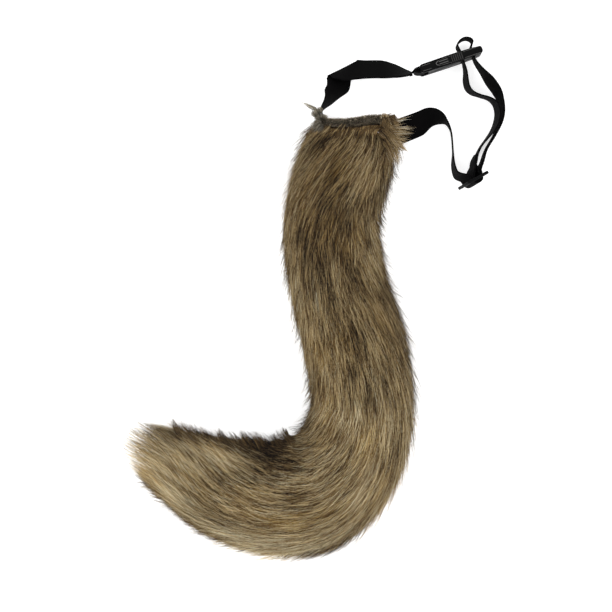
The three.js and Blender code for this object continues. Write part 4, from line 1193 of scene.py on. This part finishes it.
def moulded(name, node, look, edge):
    """A moulding with rounded edges, made from its node's solid."""
    deselect()
    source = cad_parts[node]
    piece = bpy.data.objects.new(name, source.data.copy())
    piece.data.name = name
    bpy.context.scene.collection.objects.link(piece)
    piece.select_set(True)
    bpy.context.view_layer.objects.active = piece
    bpy.ops.object.mode_set(mode="EDIT")
    bpy.ops.mesh.select_all(action="SELECT")
    bpy.ops.mesh.remove_doubles(threshold=0.00001)
    bpy.ops.mesh.dissolve_limited(angle_limit=math.radians(1))
    bpy.ops.object.mode_set(mode="OBJECT")
    round_edges(piece, edge, 2, 40)
    bpy.ops.object.shade_smooth_by_angle(angle=math.radians(40))
    dress(piece, look, "plastic", node)


def plastic_look(colour):
    look, tree, shader = new_look("Black plastic", 0.5, 0.03)
    grain = noise(tree, object_place(tree), 900, 3)
    body = ramp(tree, grain, [(0.3, scaled(colour, 0.8)), (0.7, scaled(colour, 1.4))])
    tree.links.new(body, shader.inputs["Base Color"])
    tree.links.new(in_range(tree, grain, to_min=0.36, to_max=0.5), shader.inputs["Roughness"])
    roughen(tree, shader, grain, 0.15, 0.0002)
    return look


def in_buckle(piece):
    """Moves a piece's points, in mm in the buckle's own frame, to their places in metres."""
    turn, at = BUCKLE
    move_points(piece.data, points_of(piece.data) @ turn.T + at)
    piece.data.update()
    return piece


def bars(name, boxes):
    """Bars with rounded edges: middle and size in the buckle's frame."""
    deselect()
    made = []
    for x, y, z, long, deep, tall in boxes:
        bpy.ops.mesh.primitive_cube_add(size=1, location=(x, y, z), scale=(long, deep, tall))
        bpy.ops.object.transform_apply(location=True, rotation=True, scale=True)
        made.append(bpy.context.object)
    piece = joined(name, made)
    round_edges(piece, 0.12, 1, 30)
    return in_buckle(piece)


def rims(name):
    """The raised rims round the socket's two windows, wide at the mouth and narrowing to the blind end."""
    deselect()
    made = []
    for side in (-1, 1):
        bpy.ops.mesh.primitive_torus_add(
            major_segments=48, minor_segments=8, major_radius=1, minor_radius=0.1
        )
        mesh = bpy.context.object.data
        x, y, z = points_of(mesh).T
        angle, off = np.arctan2(y, x), (np.hypot(x, y) - 1) * RIM_WIDTH
        narrow = 0.78 + 0.22 * np.cos(angle)
        flat = [np.sign(v) * np.abs(v) ** 0.7 for v in (np.cos(angle), np.sin(angle))]
        along = WINDOW_AT + flat[0] * (WINDOW_LONG + off)
        verts = [along, flat[1] * (WINDOW_DEEP * narrow + off), side * (RIM_TOP + z * RIM_HEIGHT)]
        mesh.vertices.foreach_set("co", np.stack(verts, -1).astype(np.float32).ravel())
        made.append(bpy.context.object)
    piece = joined(name, made[::-1])
    turn_outward()
    return in_buckle(piece)


class TAIL_OT_hardware(bpy.types.Operator):
    """Makes the side-release buckle and the sliding adjuster"""

    bl_idname = "costume_tail.hardware"
    bl_label = "Buckle and adjuster"

    def execute(self, context):
        cfg = context.scene.tail_belt
        look = plastic_look(cfg.plastic)
        moulded("socket_moulding", "buckle_socket", look, cfg.edge)
        moulded("plug_moulding", "buckle_plug", look, cfg.edge)
        moulded("adjuster_moulding", "slider", look, cfg.edge)
        # Painted highlight: the pale bars, lines, ribs and window rims below are lighter plastic that stands
        # for light caught on the moulding's edges and ridges.
        painted_highlight = plain_look("Painted plastic highlight", cfg.painted_highlight, 0.5, 0.2)
        rib_highlight = plain_look("Grip rib highlight", scaled(cfg.painted_highlight, 0.35), 0.5, 0.1)
        thread = plain_look("Tacking thread", cfg.webbing, 0.8, 0.03)
        ribs, highlight_lines = [], []
        for side in (-1, 1):
            top = side * BUCKLE_WIDTH / 2
            ribs += [(PLUG_START + 1.4 + RIB_PITCH * i, 0, top, *RIB) for i in range(RIB_COUNT)]
            proud = top + side * (BUTTON_PROUD - 0.25)
            highlight_lines += [(24.4, y, proud, 9.4, 0.8, 0.5 + side * 0.1) for y in (-1.2, 1.2)]
            highlight_lines.append((PLUG_START - 0.6, 0, top, 0.6, 8.0, 0.5))
            highlight_lines += [(54.5, y, top, 17, 0.4, 0.4) for y in (-3.2, 3.2)]
            highlight_lines += [(6.5, y, top, 9, 0.35, 0.35) for y in (2.6, -2.6)]
        # The ribs, lines and rims are dressed in the painted highlight colours.
        dress(bars("grip_ribs", ribs), rib_highlight, "plastic")
        dress(bars("bar_tacks", TACKS), thread, "webbing")
        dress(bars("edge_highlights", highlight_lines), painted_highlight, "plastic")
        dress(rims("window_rims"), painted_highlight, "plastic")
        return {"FINISHED"}


# The stage


def area_light(name, place, target, power):
    light = bpy.data.lights.new(name, "AREA")
    light.size, light.energy = LIGHT_SIZE, power
    lamp = bpy.data.objects.new(name, light)
    lamp.location = place
    lamp.rotation_euler = (Vector(target) - Vector(place)).to_track_quat("-Z", "Y").to_euler()
    bpy.context.scene.collection.objects.link(lamp)


class TAIL_OT_stage(bpy.types.Operator):
    """Makes the pale floor, the soft lights and the camera overhead"""

    bl_idname = "costume_tail.stage"
    bl_label = "Stage"

    def execute(self, context):
        cfg = context.scene.tail_stage
        scene = context.scene
        deselect()
        bpy.ops.mesh.primitive_plane_add(size=FLOOR_SIZE, location=(0, 0, 0))
        floor = context.object
        floor.name = floor.data.name = "floor"
        look, tree, shader = new_look("Pale floor", 0.9, 0.1)
        grain = noise(tree, object_place(tree), 3, 2)
        body = ramp(tree, grain, [(0.4, scaled(cfg.floor, 0.99)), (0.6, cfg.floor)])
        tree.links.new(body, shader.inputs["Base Color"])
        shader.inputs["Emission Color"].default_value = (1, 1, 1, 1)
        shader.inputs["Emission Strength"].default_value = cfg.glow
        floor.data.materials.append(look)
        world = scene.world or bpy.data.worlds.new("Studio")
        scene.world = world
        world.use_nodes = True
        sky = world.node_tree.nodes.get("Background") or world.node_tree.nodes.new("ShaderNodeBackground")
        sky.inputs["Color"].default_value = (1, 1, 1, 1)
        sky.inputs["Strength"].default_value = cfg.sky
        middle = (*((HEM_AT[k] + VIEW_MIDDLE[k]) * MM for k in (0, 1)), 0.0)
        for name, place, share in LIGHTS:
            area_light(name, place, middle, cfg.key * share)
        scene.view_settings.view_transform = "Standard"
        data = bpy.data.cameras.new("Camera")
        camera = bpy.data.objects.new("Camera", data)
        scene.collection.objects.link(camera)
        camera.location = (middle[0], middle[1], cfg.height)
        camera.rotation_euler = (0, 0, 0)
        data.sensor_width = SENSOR
        data.lens = SENSOR * cfg.height / cfg.view_width
        data.clip_end = VIEW_DEPTH
        scene.camera = camera
        return {"FINISHED"}


class TAIL_PT_panel(bpy.types.Panel):
    """Lists the settings and the steps that make the tail"""

    bl_idname = "TAIL_PT_panel"
    bl_label = "Costume Tail"
    bl_space_type = "VIEW_3D"
    bl_region_type = "UI"
    bl_category = "Costume Tail"

    def draw(self, context):
        layout = self.layout
        for group in (context.scene.tail_fur, context.scene.tail_belt, context.scene.tail_stage):
            box = layout.box()
            for key in group.__annotations__:
                box.prop(group, key)
        for step in STEPS_IN_ORDER:
            layout.operator(step.bl_idname)


STEPS_IN_ORDER = (
    TAIL_OT_stage,
    TAIL_OT_sleeve,
    TAIL_OT_underfur,
    TAIL_OT_guard_hair,
    TAIL_OT_top_hair,
    TAIL_OT_tufts,
    TAIL_OT_hem,
    TAIL_OT_belt,
    TAIL_OT_hardware,
)
CLASSES = (FurSettings, BeltSettings, StageSettings, *STEPS_IN_ORDER, TAIL_PT_panel)


def register():
    for each in CLASSES:
        bpy.utils.register_class(each)
    bpy.types.Scene.tail_fur = PointerProperty(type=FurSettings)
    bpy.types.Scene.tail_belt = PointerProperty(type=BeltSettings)
    bpy.types.Scene.tail_stage = PointerProperty(type=StageSettings)


def unregister():
    del bpy.types.Scene.tail_stage
    del bpy.types.Scene.tail_belt
    del bpy.types.Scene.tail_fur
    for each in reversed(CLASSES):
        bpy.utils.unregister_class(each)


def main():
    register()
    steps = bpy.ops.costume_tail
    steps.stage()
    steps.sleeve()
    steps.underfur()
    steps.guard_hair()
    steps.top_hair()
    steps.tufts()
    steps.hem()
    steps.belt()
    steps.hardware()


if __name__ == "__main__":
    main()
